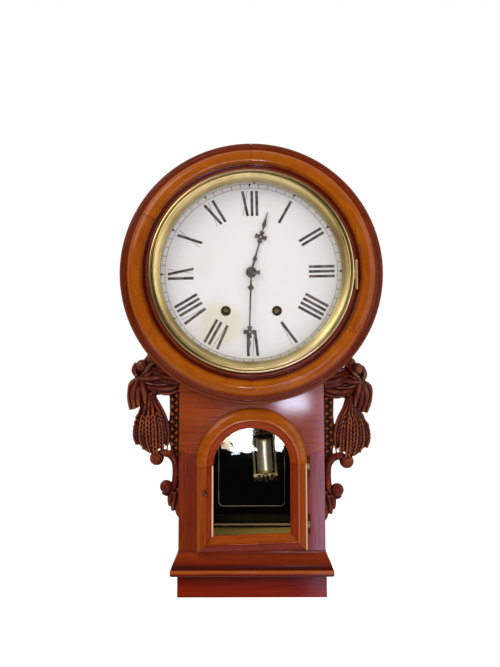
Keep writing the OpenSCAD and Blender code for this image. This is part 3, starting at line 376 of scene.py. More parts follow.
inside_r, lip, seat = 140.0, 2, 12
reed_r, bead_r, cove_r = 2.1, 2.2, 8
ring_section = (
    [(inside_r, back), (rim_r - 1.6, back), (rim_r - 1.6, back + 11.4)]
    + arc(rim_r - 2.1, back + 13.6, reed_r, -50, 118, 8)
    + arc(rim_r - 6.2, back + 15.8, reed_r, -12, 128, 7)
    + [(rim_r - 8.2, back + 16.2), (rim_r - 10.2, back + 16.9)]
    + arc(rim_r - 29, back + 14, 16, 24, 118, 16)
    + arc(rim_r - 43.6, back + 29.1, cove_r, -12, -88, 8)
    + arc(178.9, back + 21.2, bead_r, 28, 150, 7)
    + arc(174.5, back + 21.6, bead_r, 20, 170, 7)
    + [(172.3, back + 20), (172.3, back + seat), (164.3, back + seat), (164.3, back + lip),
       (inside_r, back + lip)])
ring_joints = (13, 90, 152, 213, 270, 328)
open_joints = (90, 152)
open_gap, shut_gap = 0.12, 0.03
varnish_and_shade_from, varnish_and_shade_wide = 170, 53
bm = bmesh.new()
for first, second in zip(ring_joints, ring_joints[1:] + (ring_joints[0] + 360,)):
    before, after = (open_gap if joint in open_joints else shut_gap
                     for joint in (first, second))
    sweep = second - first - before - after
    turn_section(bm, ring_section, first + before, sweep, round(sweep / 2.2))


def out_from_middle(place):
    """The way from the clock's middle to a place: in full, flat on the wall, and its length."""
    spot = place.vector("SUBTRACT", middle)
    flat = spot.vector("MULTIPLY", (1, 0, 1))
    return spot, flat, flat.vector("LENGTH", output=1)


def ring_finish():
    made, shader, place = finish_of("ring_wood")
    _, flat, radius = out_from_middle(place)
    clockwise = flat.math("ARCTAN2", flat.part(0), flat.part(2))
    segment = 0
    for joint in sorted((90 - a + 180) % 360 - 180 for a in ring_joints if a != 270):
        segment = clockwise.math("GREATER_THAN", clockwise, math.radians(joint)) + segment
    tone = segment.node("TexWhiteNoise", {"noise_dimensions": "1D"}, {"W": segment})
    along = clockwise * 0.2
    veneer = place.node("CombineXYZ", values={0: along / 0.0022, 1: radius / 0.02,
                                              2: segment * 7})
    ticks = veneer.noise(1, 3, 0.6, 0.4)
    flame = place.node("CombineXYZ", values={0: along / 0.03, 1: radius / 0.012,
                                             2: segment * 3}).noise(1, 3, 0.6, 0.8)
    inward = (radius / mm - varnish_and_shade_from) / varnish_and_shade_wide + (flame - 0.5) * 0.03
    # Painted light and shade by radius: dark in the grooves, the cove and the band's outer flank,
    # partly also old varnish, and lighter on the beads and the band.
    polish_and_light = inward.ramp(
        (0.0, (0.16, 0.03, 0.010)), (0.12, (0.25, 0.045, 0.014)),
        (0.15, (0.05, 0.004, 0.002)), (0.17, (0.10, 0.007, 0.001)),
        (0.235, (0.13, 0.009, 0.001)), (0.285, (0.40, 0.098, 0.002)),
        (0.69, (0.41, 0.096, 0.002)), (0.745, (0.21, 0.026, 0.002)),
        (0.80, (0.13, 0.010, 0.002)), (0.84, (0.32, 0.060, 0.014)),
        (0.885, (0.04, 0.003, 0.001)), (0.93, (0.30, 0.055, 0.013)),
        (1.0, (0.05, 0.004, 0.001)))
    share = 0.62 + (ticks - 0.5) * 0.7 + (flame - 0.5) * 1.3 + (tone - 0.5) * 0.3
    dirt = polish_and_light.stained((0.55, 0.36, 0.30))
    varnish(shader, share.clamped().between(dirt, polish_and_light), 0.3 + (ticks - 0.5) * 0.1, 0.4,
            ticks * 0.4 + flame, depth=0.2)
    return made


piece("head_ring_wood", bm, "root", "ring_wood", [ring_finish()], ["head_ring"])

# Thin strips of old glue and dirt fill the joints between the segments.
glue_wide = 0.26
glue_section = [(172.4, back + 2.2), (rim_r - 1.7, back + 2.2), (rim_r - 1.7, back + 13),
                (rim_r - 12, back + 16), (rim_r - 17, back + 23.4), (rim_r - 29, back + 29.4),
                (rim_r - 36, back + 27), (rim_r - 43, back + 20.6), (172.4, back + 19)]
bm = bmesh.new()
for joint in ring_joints:
    turn_section(bm, glue_section, joint - glue_wide / 2, glue_wide, 1)
glue, shader, place = finish_of("old_glue")
fill(shader, {"Base Color": place.noise(300, 2).between((0.02, 0.006, 0.003),
                                                        (0.06, 0.02, 0.008)),
              "Roughness": 0.7})
piece("ring_joint_glue", bm, "root", "ring_wood", [glue])

# The spun brass bezel: one sheet of brass spun over a former, with a bright crown bead,
# a groove, a second step and a broad slope down to the glass, dulled where fingers and
# polish never reach. It turns on the hinge at the right.
bezel_low, bezel_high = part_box("bezel_ring")
bezel_rim = (bezel_high.x - bezel_low.x) / 2 / mm
bezel_back, bezel_front = -bezel_high.y / mm, -bezel_low.y / mm
sight_r, bezel_wide = 151, 21


def brass(name, bright, dull, shine=0.24, streak=(1, 1, 1), worn=0.5):
    """Old lacquered brass: bright where it is rubbed and brown where it isn't."""
    made, shader, place = finish_of(name)
    spots = place.noise(70, 4, 0.65, 0.6)
    lathe = place.scaled(*streak).noise(900, 2)
    share = (worn + (spots - 0.5) * 2.4).clamped()
    fill(shader, {"Base Color": share.between(dull, bright), "Metallic": 1.0,
                  "Roughness": shine + (1 - share) * 0.2 + (lathe - 0.5) * 0.08,
                  "Normal": lathe.bump(0.00001, 0.4)})
    return made


def lathe_brass(name):
    """Brass spun on a lathe: bright on its beads, tarnished on the slope to the glass."""
    made, shader, place = finish_of(name)
    radius = out_from_middle(place)[2] / mm
    turning = radius.node("CombineXYZ", values={0: radius * 1.6}).noise(1, 4, 0.7)
    handled = place.noise(9, 3, 0.6, 0.6)
    tone = ((radius - sight_r) / bezel_wide + (turning - 0.5) * 0.03).ramp(
        (0.0, (0.46, 0.38, 0.21)), (0.24, (0.56, 0.45, 0.23)), (0.36, (0.98, 0.78, 0.36)),
        (0.62, (1.0, 0.84, 0.42)), (0.70, (0.50, 0.36, 0.13)), (0.77, (0.40, 0.28, 0.09)),
        (0.83, (1.0, 0.82, 0.42)), (0.95, (1.0, 0.90, 0.56)))
    dull = tone.stained((0.78, 0.72, 0.60))
    fill(shader, {"Base Color": handled.step(0.30, 0.62).between(dull, tone), "Metallic": 1.0,
                  "Roughness": 0.30 + (turning - 0.5) * 0.16,
                  "Normal": turning.bump(0.00006, 0.5)})
    return made


bezel_section = (
    [(bezel_rim - 2.4, bezel_back), (bezel_rim, bezel_back)]
    + arc(bezel_rim - 2.6, bezel_front - 4.6, 2.6, 0, 140, 10)
    + [(bezel_rim - 5.2, bezel_front - 4.5), (bezel_rim - 6.2, bezel_front - 4.4)]
    + arc(bezel_rim - 8.6, bezel_front - 1.9, 1.9, 10, 150, 9)
    + [(bezel_rim - 12, bezel_front - 3.4), (bezel_rim - 15.6, bezel_front - 7.4),
       (bezel_rim - 17.6, bezel_front - 10.2), (bezel_rim - 18.7, bezel_front - 11.7),
       (bezel_rim - 19, bezel_front - 13), (bezel_rim - 18.6, bezel_front - 13.5),
       (bezel_rim - 2.4, bezel_front - 13.5)])
bm = bmesh.new()
turn_section(bm, bezel_section, steps=180)
piece("bezel_spun_ring", bm, "bezel", "bezel_brass", [lathe_brass("bezel_brass")],
      ["bezel_ring"], 50)
dress(brass("bezel_fitting_brass", (0.80, 0.56, 0.24), (0.44, 0.28, 0.11), 0.3, worn=0.75),
      "bezel_leaf", "bezel_hinge_plate")
dress(brass("bezel_catch_brass", (0.30, 0.17, 0.06), (0.09, 0.05, 0.02), 0.4, worn=0.4),
      "bezel_catch")


def window_glass(name):
    """Old window glass: clear, with a faint wave in what it mirrors."""
    made, shader, place = finish_of(name)
    waves = place.scaled(14, 14, 30).noise(1, 3, 0.6, 1.0)
    edge_on = place.node("LayerWeight", values={"Blend": 0.5}, output=1) ** 5
    fill(shader, {"Base Color": (0.95, 1.0, 0.98), "Metallic": 1.0, "Roughness": 0.02,
                  "Alpha": 0.022 + edge_on * 0.9 + waves.step(0.45, 0.8) * 0.006,
                  "Normal": waves.bump(0.0006, 0.3)})
    return made


dress(window_glass("bezel_pane"), "bezel_glass")

# The dial: a sheet-iron plate painted cream, with its hours and minutes printed in black
# and pinned to the ring at its rim. The thin strokes have been rubbed away.
dial_front, ink_height = -dial_low.y / mm, 0.06
damp_place = Vector((-54, -95.5, -88)) * mm


def dial_finish():
    made, shader, place = finish_of("dial_paint")
    spot, _, radius = out_from_middle(place)
    # The paint darkens towards the rim.
    toward_rim = radius.step(0.120, 0.165) * 0.2
    clouds = place.noise(16, 4, 0.6, 0.6)
    specks = place.noise(420, 2, 0.5).step(0.70, 0.78)
    to_stain = spot.vector("DISTANCE", damp_place, output=1)
    damp = (to_stain + (clouds - 0.5) * 0.05).step(0.052, 0.022) * 0.55
    stain = clouds.step(0.52, 0.75) * 0.2 + toward_rim * (0.4 + clouds) + specks * 0.2 + damp
    fill(shader, {"Base Color": stain.clamped().between((0.93, 0.92, 0.86), (0.78, 0.70, 0.42)),
                  "Roughness": 0.35 + clouds * 0.15, "Specular IOR Level": 0.3,
                  "Normal": (clouds + specks * 0.4).bump(0.0002, 0.2)})
    return made


def ink_finish(name, wear):
    """Printing ink that is rubbed through to the paint in places."""
    made, shader, place = finish_of(name)
    rubbed_and_lit_edge = place.noise(210, 4, 0.7, 0.5).step(0.80 - wear, 0.88 - wear)
    thin_coat = place.noise(90, 3, 0.6, 0.3).step(0.36, 0.60)
    ink = thin_coat.between((0.045, 0.036, 0.026), (0.155, 0.130, 0.092))
    fill(shader, {"Base Color": rubbed_and_lit_edge.between(ink, (0.66, 0.63, 0.52)), "Roughness": 0.5})
    return made


def on_dial(across, outward, clockwise, depth):
    """A point of a numeral that stands with its feet to the middle at a clock angle."""
    turn = math.radians(clockwise)
    return middle + Vector((across * math.cos(turn) + outward * math.sin(turn),
                            -depth,
                            outward * math.cos(turn) - across * math.sin(turn))) * mm


def thicken(bm, faces, forward):
    """Gives flat faces their thickness, so many mm toward the room."""
    risen = bmesh.ops.extrude_face_region(bm, geom=faces)
    bmesh.ops.translate(bm, vec=(0, -forward * mm, 0),
                        verts=[v for v in risen["geom"] if isinstance(v, bmesh.types.BMVert)])


def plate(bm, points, forward):
    """A flat plate with these corners, so many mm thick toward the room."""
    thicken(bm, [bm.faces.new([bm.verts.new(point) for point in points])], forward)


def print_shape(bm, outline, clockwise):
    """Prints a flat shape of (across, outward) points in mm as a thin film of ink."""
    plate(bm, [on_dial(a, o, clockwise, dial_front) for a, o in outline], ink_height)


def stroke(bm, top, bottom, width, clockwise, foot=98.6, head=142.6):
    """One stroke of a numeral from its head, out at the track, to its foot."""
    half = width / 2
    print_shape(bm, [(bottom - half, foot), (bottom + half, foot),
                     (top + half, head), (top - half, head)], clockwise)


thick, thin, letter_side = 4.7, 0.7, 3.4
letter_width = {"I": 8.4, "V": 15.3, "X": 15.3}
hours = ("XII", "I", "II", "III", "IIII", "V", "VI", "VII", "VIII", "IX", "X", "XI")
dial_turn = -1.0
bold_ink, fine_ink = bmesh.new(), bmesh.new()
for hour, numeral in enumerate(hours):
    angle = 30 * hour + dial_turn
    across = -sum(letter_width[letter] for letter in numeral) / 2
    for letter in numeral:
        half = letter_width[letter] / 2
        across += half
        lean = half - letter_side
        if letter == "I":
            stroke(bold_ink, across, across, thick, angle)
        elif letter == "V":
            stroke(bold_ink, across - lean, across, thick, angle)
            stroke(fine_ink, across + lean, across + 1.4, thin, angle)
        else:
            stroke(bold_ink, across - lean, across + lean, thick, angle)
            stroke(fine_ink, across + lean, across - lean, thin, angle)
        across += half
track_in, track_out, line = 147.6, 155.4, 0.6
minute_line, wedge_in, wedge_half = 0.8, 149.4, 2.6
for radius in (track_in, track_out):
    near, far = radius - line / 2, radius + line / 2
    turn_section(fine_ink, [(near, dial_front), (near, dial_front + ink_height),
                            (far, dial_front + ink_height), (far, dial_front)])
for minute in range(60):
    angle = 6 * minute + dial_turn
    stroke(fine_ink, 0, 0, minute_line, angle, track_in, track_out)
    if minute % 5 == 0:
        print_shape(bold_ink, [(0, wedge_in), (wedge_half, track_out), (-wedge_half, track_out)],
                    angle)
piece("hour_numerals", bold_ink, "root", "dial_paint", [ink_finish("numeral_ink", 0.16)])
piece("minute_track", fine_ink, "root", "dial_paint", [ink_finish("fine_ink", 0.22)])
dress(dial_finish(), "dial")

# The hands: pressed from sheet steel, each with a diamond on its arm, an open cross and a
# spear point. The steel has gone grey-brown. A washer and a taper pin hold the outer one.


def clock_point(across, height, depth):
    """A point in mm right of the dial's middle, above it and out from the wall."""
    return middle + Vector((across, -depth, height)) * mm


def steel(name, pale, deep, shine=0.4, metal=1.0):
    """Bare or blued steel with the fine marks of its rolling and years of handling."""
    made, shader, place = finish_of(name)
    marks = place.noise(160, 4, 0.65, 0.4)
    lines = place.scaled(1, 1, 12).noise(500, 2)
    fill(shader, {"Base Color": marks.step(0.3, 0.7).between(deep, pale), "Metallic": metal,
                  "Roughness": shine + (marks - 0.5) * 0.25,
                  "Normal": (lines + marks).bump(0.00004, 0.4)})
    return made


def hand_outline(length, hub, diamond, cross, spear):
    """The right edge of a hand from its hub to its tip, as (across, outward) in mm."""
    edge = arc(0, 0, hub, -90, 80, 16)
    edge += [(1.6, diamond[0] - 9), (1.9, diamond[0] - 5), (diamond[1], diamond[0]),
             (1.9, diamond[0] + 4.5), (1.4, diamond[0] + 9), (1.2, cross - 10.6)]
    edge += [(a, cross + o) for a, o in (
        (4.3, -9.0), (3.9, -7.6), (2.9, -5.2), (3.4, -3.4), (5.2, -2.9), (7.4, -3.7),
        (8.8, -4.6), (10.0, -2.4), (10.3, 0), (10.0, 2.4), (8.8, 4.6), (7.4, 3.7),
        (5.2, 2.9), (3.4, 3.4), (2.9, 5.2), (3.9, 7.6), (4.3, 9.0), (1.1, 10.6))]
    return edge + [(0.9, spear[0] - 8), (spear[1] * 0.6, spear[0] - 3.6), (spear[1], spear[0]),
                   (spear[1] * 0.78, spear[0] + 3.4), (spear[1] * 0.42, spear[0] + 9.5),
                   (0.6, length - 3), (0, length)]


def press_hand(outline, holes, turn, near_wall, thick):
    """Presses a hand from sheet steel, with its holes, and turns it to its hour."""
    bm = bmesh.new()
    whole = outline + [(-a, o) for a, o in reversed(outline[1:-1])]
    for loop in [whole] + holes:
        loop_of(bm, [(a * mm, 0, o * mm) for a, o in loop])
    bmesh.ops.triangle_fill(bm, use_beauty=True, edges=bm.edges, normal=(0, -1, 0))
    thicken(bm, bm.faces[:], thick)
    place = Matrix.Translation(clock_point(0, 0, near_wall))
    place = place @ Matrix.Rotation(math.radians(turn), 4, "Y")
    bmesh.ops.transform(bm, matrix=place, verts=bm.verts)
    return bm


def ease_edges(made):
    eased = made.modifiers.new("eased", "BEVEL")
    eased.width, eased.segments, eased.limit_method = 0.25 * mm, 2, "ANGLE"


hand_steel = steel("hand_steel", (0.22, 0.19, 0.14), (0.075, 0.058, 0.040), 0.45, 0.35)
hour_place, minute_place, hand_thick, minutes_past = 97.6, 101.0, 1.2, 30.3
hour_cross, minute_cross = 63.4, 102.3
hour_outline = hand_outline(109.5, 9.2, (23.9, 3.9), hour_cross, (85.3, 3.6))
minute_outline = hand_outline(140, 8.9, (27.0, 5.7), minute_cross, (121, 3.0))
for name, body, outline, cross, bore, turn, place in (
        ("hour_hand", "hour", hour_outline, hour_cross, 4.05, minutes_past / 2, hour_place),
        ("minute_hand", "minute", minute_outline, minute_cross, 1.4, 6 * minutes_past,
         minute_place)):
    opening = [(a, cross + o) for a, o in ((2.6, 0), (1.2, 1.4), (0, 2.9), (-1.2, 1.4),
                                           (-2.6, 0), (-1.2, -1.4), (0, -2.9), (1.2, -1.4))]
    holes = [arc(0, 0, bore, 0, 340, 17), opening]
    ease_edges(piece(name + "_pressed", press_hand(outline, holes, turn, place, hand_thick),
                     body, "dark_steel", [hand_steel], [name]))
dress(hand_steel, "hand_pin", "dial_pins")
tail = [(0, 2.2), (8.4, 2.9), (11.6, 3.4), (14.9, 4.5), (15.2, 0.4), (14.7, -4.0),
        (11.6, -3.0), (8.4, -2.6), (0, -2.2)]
tail_drop, tail_thick, tail_gap = 1.2, 0.9, 0.05
bm = bmesh.new()
plate(bm, [clock_point(x, z - tail_drop, minute_place + hand_thick + tail_gap)
           for x, z in tail], tail_thick)
tail_steel = steel("pin_steel", (0.30, 0.30, 0.24), (0.13, 0.12, 0.09), 0.45, 0.3)
ease_edges(piece("hand_pin_tail", bm, "minute", "dark_steel", [tail_steel]))

# The carved ears: one limewood board each, sawn to its outline and carved with a swag of
# cloth and its knot, a tail of folds, a sheaf of wheat, a lattice and two scrolls. The
# right one was set a little lower. Both are stained dark, their hollows painted near black
# as shade and their ridges painted bright, partly for wear and partly as painted highlight.
trunk_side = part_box("side_board_right")[1].x / mm
ear_back, ear_ground = 58.0, 65.0
ear_width, ear_height, ear_rise = 1.014, 1.0204, 5.5
# Chains of (outward, height, depth, half width), with 0 outward at the trunk's side.
cloth_folds = (
    ((72, -181, 68, 3.5), (84, -191, 66, 6.5), (88, -205, 64, 5.6), (89, -218, 64, 4.6),
     (88, -235, 63, 2.2)),
    ((71, -182, 70, 3.5), (79, -197, 69, 6.0), (82, -213, 67, 5.6), (81, -232, 65, 2.6)),
    ((70, -183, 71, 3.5), (73, -200, 70, 5.4), (74, -214, 68, 5.0), (73, -229, 66, 2.6)),
    ((68, -183, 73, 3.5), (65, -196, 73, 5.2), (62, -210, 72, 4.6), (61, -224, 69, 2.0)),
    ((58, -146, 64, 8), (53, -150, 66, 9), (47, -156, 65, 8)),
    ((76, -157, 66, 6), (81, -168, 67, 5.4), (77, -178, 68, 3.6)),
    ((69, -181, 72, 3), (60, -170, 74, 4.2), (52, -159, 71, 4.6), (45, -149, 66, 5)),
    ((69, -181, 73, 2.6), (56, -176, 74, 4.0), (44, -167, 68, 3.4)),
    ((68, -183, 74, 3), (51, -182, 75, 4.4), (36, -180, 72, 4.2), (20, -180, 67, 3.4),
     (0, -176, 63, 3)),
    ((71, -181, 72, 2.4), (60, -188.5, 73, 2.4), (45, -192, 73, 2.2), (30, -192.5, 71, 2.2),
     (14, -189, 68, 2.2), (0, -184, 66, 2)),
    ((60, -185, 72, 2.2), (45, -188, 72, 2.0), (30, -188.2, 70, 2.0), (14, -184.8, 68, 2)),
    ((62, -190, 69, 3.4), (52, -197, 69, 4.6), (44, -206, 67, 3.6)),
    ((56, -193, 70, 3.4), (42, -198, 70, 5.0), (28, -200, 68, 5.2), (12, -197, 66, 5),
     (0, -190, 63, 4.6)),
    ((38, -204, 68, 3.2), (30, -207, 68, 4.0), (20, -207, 66, 4.2), (8, -203, 64, 4),
     (0, -199, 62, 4)),
    ((66, -164, 62, 12), (46, -172, 61, 14), (26, -180, 61, 16), (4, -184, 61, 14)))
sheaf_body = ((54, -200, 64, 9), (55, -222, 64, 15), (54, -250, 65, 22), (52, -278, 65, 25),
              (50, -292, 64, 20), (46, -304, 64, 11))
wheat_paths = (
    ((60, -212, 65), (70, -236, 65), (77, -262, 65), (78, -280, 64), (73, -294, 63)),
    ((57, -210, 67), (63, -238, 68), (67, -264, 69), (67, -284, 67), (60, -303, 64)),
    ((54, -208, 69), (55, -238, 70), (56, -264, 72), (54, -288, 70), (48, -310, 66)),
    ((53, -208, 69), (48, -236, 70), (45, -264, 72), (44, -288, 71), (41, -314, 70)),
    ((52, -207, 67), (42, -234, 67), (35, -260, 69), (33, -282, 68), (33, -303, 66)))
blades = (((50, -206, 66, 2.6), (41, -222, 66, 3.4), (28, -246, 66, 3.4), (21.8, -272, 66, 3.2),
           (24, -302, 64, 1.2)),
          ((52, -206, 68, 2.6), (45, -224, 68, 3.0), (33, -246, 68, 3.0), (27, -272, 68, 2.8),
           (27, -297, 65, 1.0)))
scroll_arm = ((38, -311, 65, 7), (28, -307.5, 66, 6.6), (16, -312, 67, 6.6),
              (9.5, -323, 67, 6.4), (8.4, -338, 66, 6.2), (9.4, -351, 65, 6.0),
              (11.5, -363, 65, 5.2), (17, -373, 65, 4.0), (25, -377, 65, 2.6),
              (32, -374, 65, 1.6))
foot_leaf = (((15, -372, 64, 6), (18, -385, 64, 5.2), (19, -396, 62, 2.6)),
             ((10, -372, 64, 6), (12, -388, 64, 5.8), (14, -404, 62, 3.0)),
             ((5, -366, 63, 5), (6, -390, 63, 5.0), (6, -407, 62, 3.2), (3, -416, 60, 1.4)))
backings = (
    ((0, -174), (40, -158), (56, -136), (66, -150), (76, -152), (83, -162), (83, -172),
     (76, -181), (62, -190), (54, -206), (46, -211), (36, -210), (24, -210), (8, -206),
     (0, -203)),
    ((60, -180), (78, -180), (89, -194), (92, -206), (92, -220), (89, -236), (80, -234),
     (70, -229), (58, -226), (50, -212), (54, -196)))
lattice_edge = ((0, -186), (18, -192), (21, -208), (20, -240), (22, -262), (26, -269),
                (21, -279), (18.5, -300), (17, -322), (13, -340), (8, -352), (3.5, -412),
                (0, -416))
knot_and_scrolls = ((67.5, -160.5, 68, 11.0), (41, -316, 66, 12.4, 0.8),
                    (24.5, -363.5, 65, 11.4, 0.8))
lattice_columns, lattice_rows, lattice_pitch = (7.6, 15.2), 10, 12.6
lattice_high, lattice_low = -205, -322
stud_r, stud_top_r, stud_high, stud_lift = 6.1, 1.8, 4.2, 0.8
stalk_steps, stalk_r, stalk_swell = 20, 1.7, 1.6
wheat_start, wheat_long, wheat_full, grain_pitch = 0.34, 0.62, 0.66, 7.2
grain_out, grain_lift, grain_lean, grain_half = 2.3, 1.4, 19, (1.9, 3.0, 6.2)
knot_heights, knot_squeezes = (-250, -236, -200, -181, -165, -145), (0, 9, 4, 3, 7, 8)
knot_from, knot_over, knot_most = 40, 28, 1.2
sheaf_flat, scroll_flat = 0.30, 0.9
chisel_mark, wall_gap, worn_rise = 0.85, 0.05, 0.9
cloth_foot, cloth_full = -0.345, -0.330


def on_ear(side, drop, across, height, depth):
    """A point of an ear; the knot of the right one is carved narrower than the left's."""
    if side > 0 and across > knot_from:
        squeeze = np.interp(height, knot_heights, knot_squeezes)
        across -= squeeze * min((across - knot_from) / knot_over, knot_most)
    return middle + Vector((side * (trunk_side + across * ear_width), -depth,
                            height * ear_height + ear_rise - drop)) * mm


def limb(bm, points, radii, thick=1.0, sides=12):
    """A round limb along a chain of points, with a radius at each in metres."""
    loops = []
    for i, (point, radius) in enumerate(zip(points, radii)):
        along = (points[min(i + 1, len(points) - 1)] - points[max(i - 1, 0)]).normalized()
        wide = along.cross(Vector((0, -1, 0))).normalized()
        high = wide.cross(along) * thick
        place = Matrix((wide * radius, high * radius, along)).transposed().to_4x4()
        place.translation = point
        made = bmesh.ops.create_circle(bm, cap_ends=i in (0, len(points) - 1), radius=1,
                                       segments=sides, matrix=place)
        loops.append([e for v in made["verts"] for e in v.link_edges])
    for first, second in zip(loops, loops[1:]):
        bmesh.ops.bridge_loops(bm, edges=list(dict.fromkeys(first + second)))


def between_points(points, share):
    """The point at a share of the way along a chain, rounded as a smooth curve."""
    spot = share * (len(points) - 1)
    i = min(int(spot), len(points) - 2)
    t = spot - i
    p = [Vector(points[max(0, min(len(points) - 1, k))]) for k in range(i - 1, i + 3)]
    return 0.5 * (2 * p[1] + (p[2] - p[0]) * t + (2 * p[0] - 5 * p[1] + 4 * p[2] - p[3]) * t * t
                  + (3 * p[1] - p[0] - 3 * p[2] + p[3]) * t ** 3)


def ear_limb(bm, side, drop, chain, thick=1.0):
    """A limb of an ear, rounded along its chain in four steps for each of its lengths."""
    count = 4 * (len(chain) - 1)
    smooth = [between_points(chain, k / count) for k in range(count + 1)]
    limb(bm, [on_ear(side, drop, *p[:3]) for p in smooth],
         [max(p[3], 0.4) * mm for p in smooth], thick)


def ear_ball(bm, side, drop, across, height, depth, radius, flat=1.0):
    place = Matrix.Translation(on_ear(side, drop, across, height, depth))
    bmesh.ops.create_uvsphere(bm, u_segments=20, v_segments=14, radius=radius * mm,
                              matrix=place @ Matrix.Diagonal((1, flat, 1, 1)))


def soften(bm, times):
    for _ in range(times):
        bmesh.ops.smooth_vert(bm, verts=bm.verts, factor=0.5, use_axis_x=True,
                              use_axis_y=True, use_axis_z=True)


def wheat_ear(bm, side, drop, path):
    """A stalk along a path, and its grains in pairs up to a single one at the tip."""
    stalk = [between_points(path, k / stalk_steps) for k in range(stalk_steps + 1)]
    limb(bm, [on_ear(side, drop, *p) for p in stalk],
         [(stalk_r + stalk_swell * math.sin(math.pi * k / len(stalk))) * mm
          for k in range(len(stalk))])
    length = sum((b - a).length for a, b in zip(stalk, stalk[1:]))
    pairs = round(length * wheat_full / grain_pitch)
    for k in range(pairs + 1):
        share = wheat_start + wheat_long * k / pairs
        spot = between_points(path, share)
        ahead = between_points(path, min(share + 0.02, 1))
        slope = math.atan2(ahead.x - spot.x, spot.y - ahead.y)
        for lean in (-1,) if k == pairs else (-1, 1):
            turn = slope + lean * math.radians(grain_lean)
            offset = Vector((lean * grain_out * math.cos(slope),
                             lean * grain_out * math.sin(slope), grain_lift))
            aim = Vector((side * math.sin(turn), 0, -math.cos(turn)))
            wide, deep, long = grain_half
            cross = aim.cross(Vector((0, 1, 0)))
            place = Matrix((cross * wide, Vector((0, deep, 0)), aim * long)).transposed()
            place = Matrix.Translation(on_ear(side, drop, *(spot + offset))) @ place.to_4x4()
            bmesh.ops.create_icosphere(bm, subdivisions=2, radius=mm, matrix=place)


def carve_ear(side, drop):
    """Sets the forms of an ear on its board, then carves them all as one piece of wood."""
    bm = bmesh.new()
    for chain in cloth_folds + foot_leaf + blades:
        ear_limb(bm, side, drop, chain)
    ear_limb(bm, side, drop, sheaf_body, sheaf_flat)
    ear_limb(bm, side, drop, scroll_arm, scroll_flat)
    for ball in knot_and_scrolls:
        ear_ball(bm, side, drop, *ball)
    for path in wheat_paths:
        wheat_ear(bm, side, drop, path)
    for outline in backings + (lattice_edge,):
        plate(bm, [on_ear(side, drop, a, h, ear_back) for a, h in outline],
              ear_ground - ear_back - 1)
    for row in range(lattice_rows):
        for column, across in enumerate(lattice_columns):
            height = lattice_high - lattice_pitch * (row + 0.5 * (1 - column))
            if height < lattice_low:
                continue
            place = Matrix.Translation(
                on_ear(side, drop, across, height, ear_ground + stud_lift))
            place = place @ Matrix.Rotation(math.radians(90), 4, "X")
            bmesh.ops.create_cone(bm, cap_ends=True, segments=4, radius1=stud_r * mm,
                                  radius2=stud_top_r * mm, depth=stud_high * mm, matrix=place)
    bmesh.ops.recalc_face_normals(bm, faces=bm.faces)
    holder = stand("ear_rough", mesh_of(bm, "ear_rough"))
    remesh = holder.modifiers.new("carved", "REMESH")
    remesh.mode, remesh.voxel_size = "VOXEL", chisel_mark * mm
    bpy.context.view_layer.update()
    whole = bpy.data.meshes.new_from_object(
        holder.evaluated_get(bpy.context.evaluated_depsgraph_get()))
    bpy.data.objects.remove(holder)
    bm = bmesh.new()
    bm.from_mesh(whole)
    soften(bm, 2)
    for spot, outward in (((side * (trunk_side + wall_gap) * mm, 0, 0), (-side, 0, 0)),
                          ((0, -ear_back * mm, 0), (0, 1, 0))):
        bmesh.ops.bisect_plane(bm, geom=bm.verts[:] + bm.edges[:] + bm.faces[:],
                               plane_co=spot, plane_no=outward, clear_outer=True)
    bmesh.ops.holes_fill(bm, edges=[e for e in bm.edges if e.is_boundary], sides=0)
    return bm


def hollows(mesh):
    """Stores how far each point stands above (1) or below (0) its smoothed neighbourhood."""
    bm = bmesh.new()
    bm.from_mesh(mesh)
    sharp_points = np.empty(len(mesh.vertices) * 3)
    mesh.vertices.foreach_get("co", sharp_points)
    normals = np.empty(len(mesh.vertices) * 3)
    mesh.vertices.foreach_get("normal", normals)
    soften(bm, 14)
    soft = np.array([v.co for v in bm.verts])
    bm.free()
    rise = ((sharp_points.reshape(-1, 3) - soft) * normals.reshape(-1, 3)).sum(axis=1)
    level = np.clip(0.5 + rise / (worn_rise * mm), 0, 1)
    mesh.attributes.new("worn", "FLOAT", "POINT").data.foreach_set("value", level)


def ear_finish():
    made, shader, place = finish_of("carved_wood")
    worn = place.kept("worn")
    grain = place.scaled(300, 300, 24).noise(1, 3)
    patches = place.noise(26, 3, 0.6, 0.5)
    # Painted shade: the hollows go near black.
    shade = (worn + (grain - 0.5) * 0.5).step(0.28, 0.70)
    # The ridges are painted bright: partly wear, partly a painted highlight.
    top = (worn + (patches - 0.5) * 0.8).step(0.60, 0.92)
    cloth = place.part(2).step(cloth_foot, cloth_full) * (patches + 0.15).step(0.42, 0.62)
    ridge = cloth.between((0.30, 0.066, 0.010), (0.24, 0.135, 0.045))
    wood_tone = shade.between((0.007, 0.001, 0.0006), (0.115, 0.012, 0.003))
    fill(shader, {"Base Color": top.between(wood_tone, ridge),
                  "Roughness": 0.36 + (grain - 0.5) * 0.2, "Coat Weight": 0.2,
                  "Coat Roughness": 0.2, "Specular IOR Level": 0.08,
                  "Normal": grain.bump(0.0002, 0.4)})
    return made


carved_finish = ear_finish()
for side, drop, name in ((-1, 0, "ear_left"), (1, 6, "ear_right")):
    carved = piece(name + "_carving", carve_ear(side, drop), "root", "carved_wood",
                   [carved_finish], [name], sharp=60)
    hollows(carved.data)

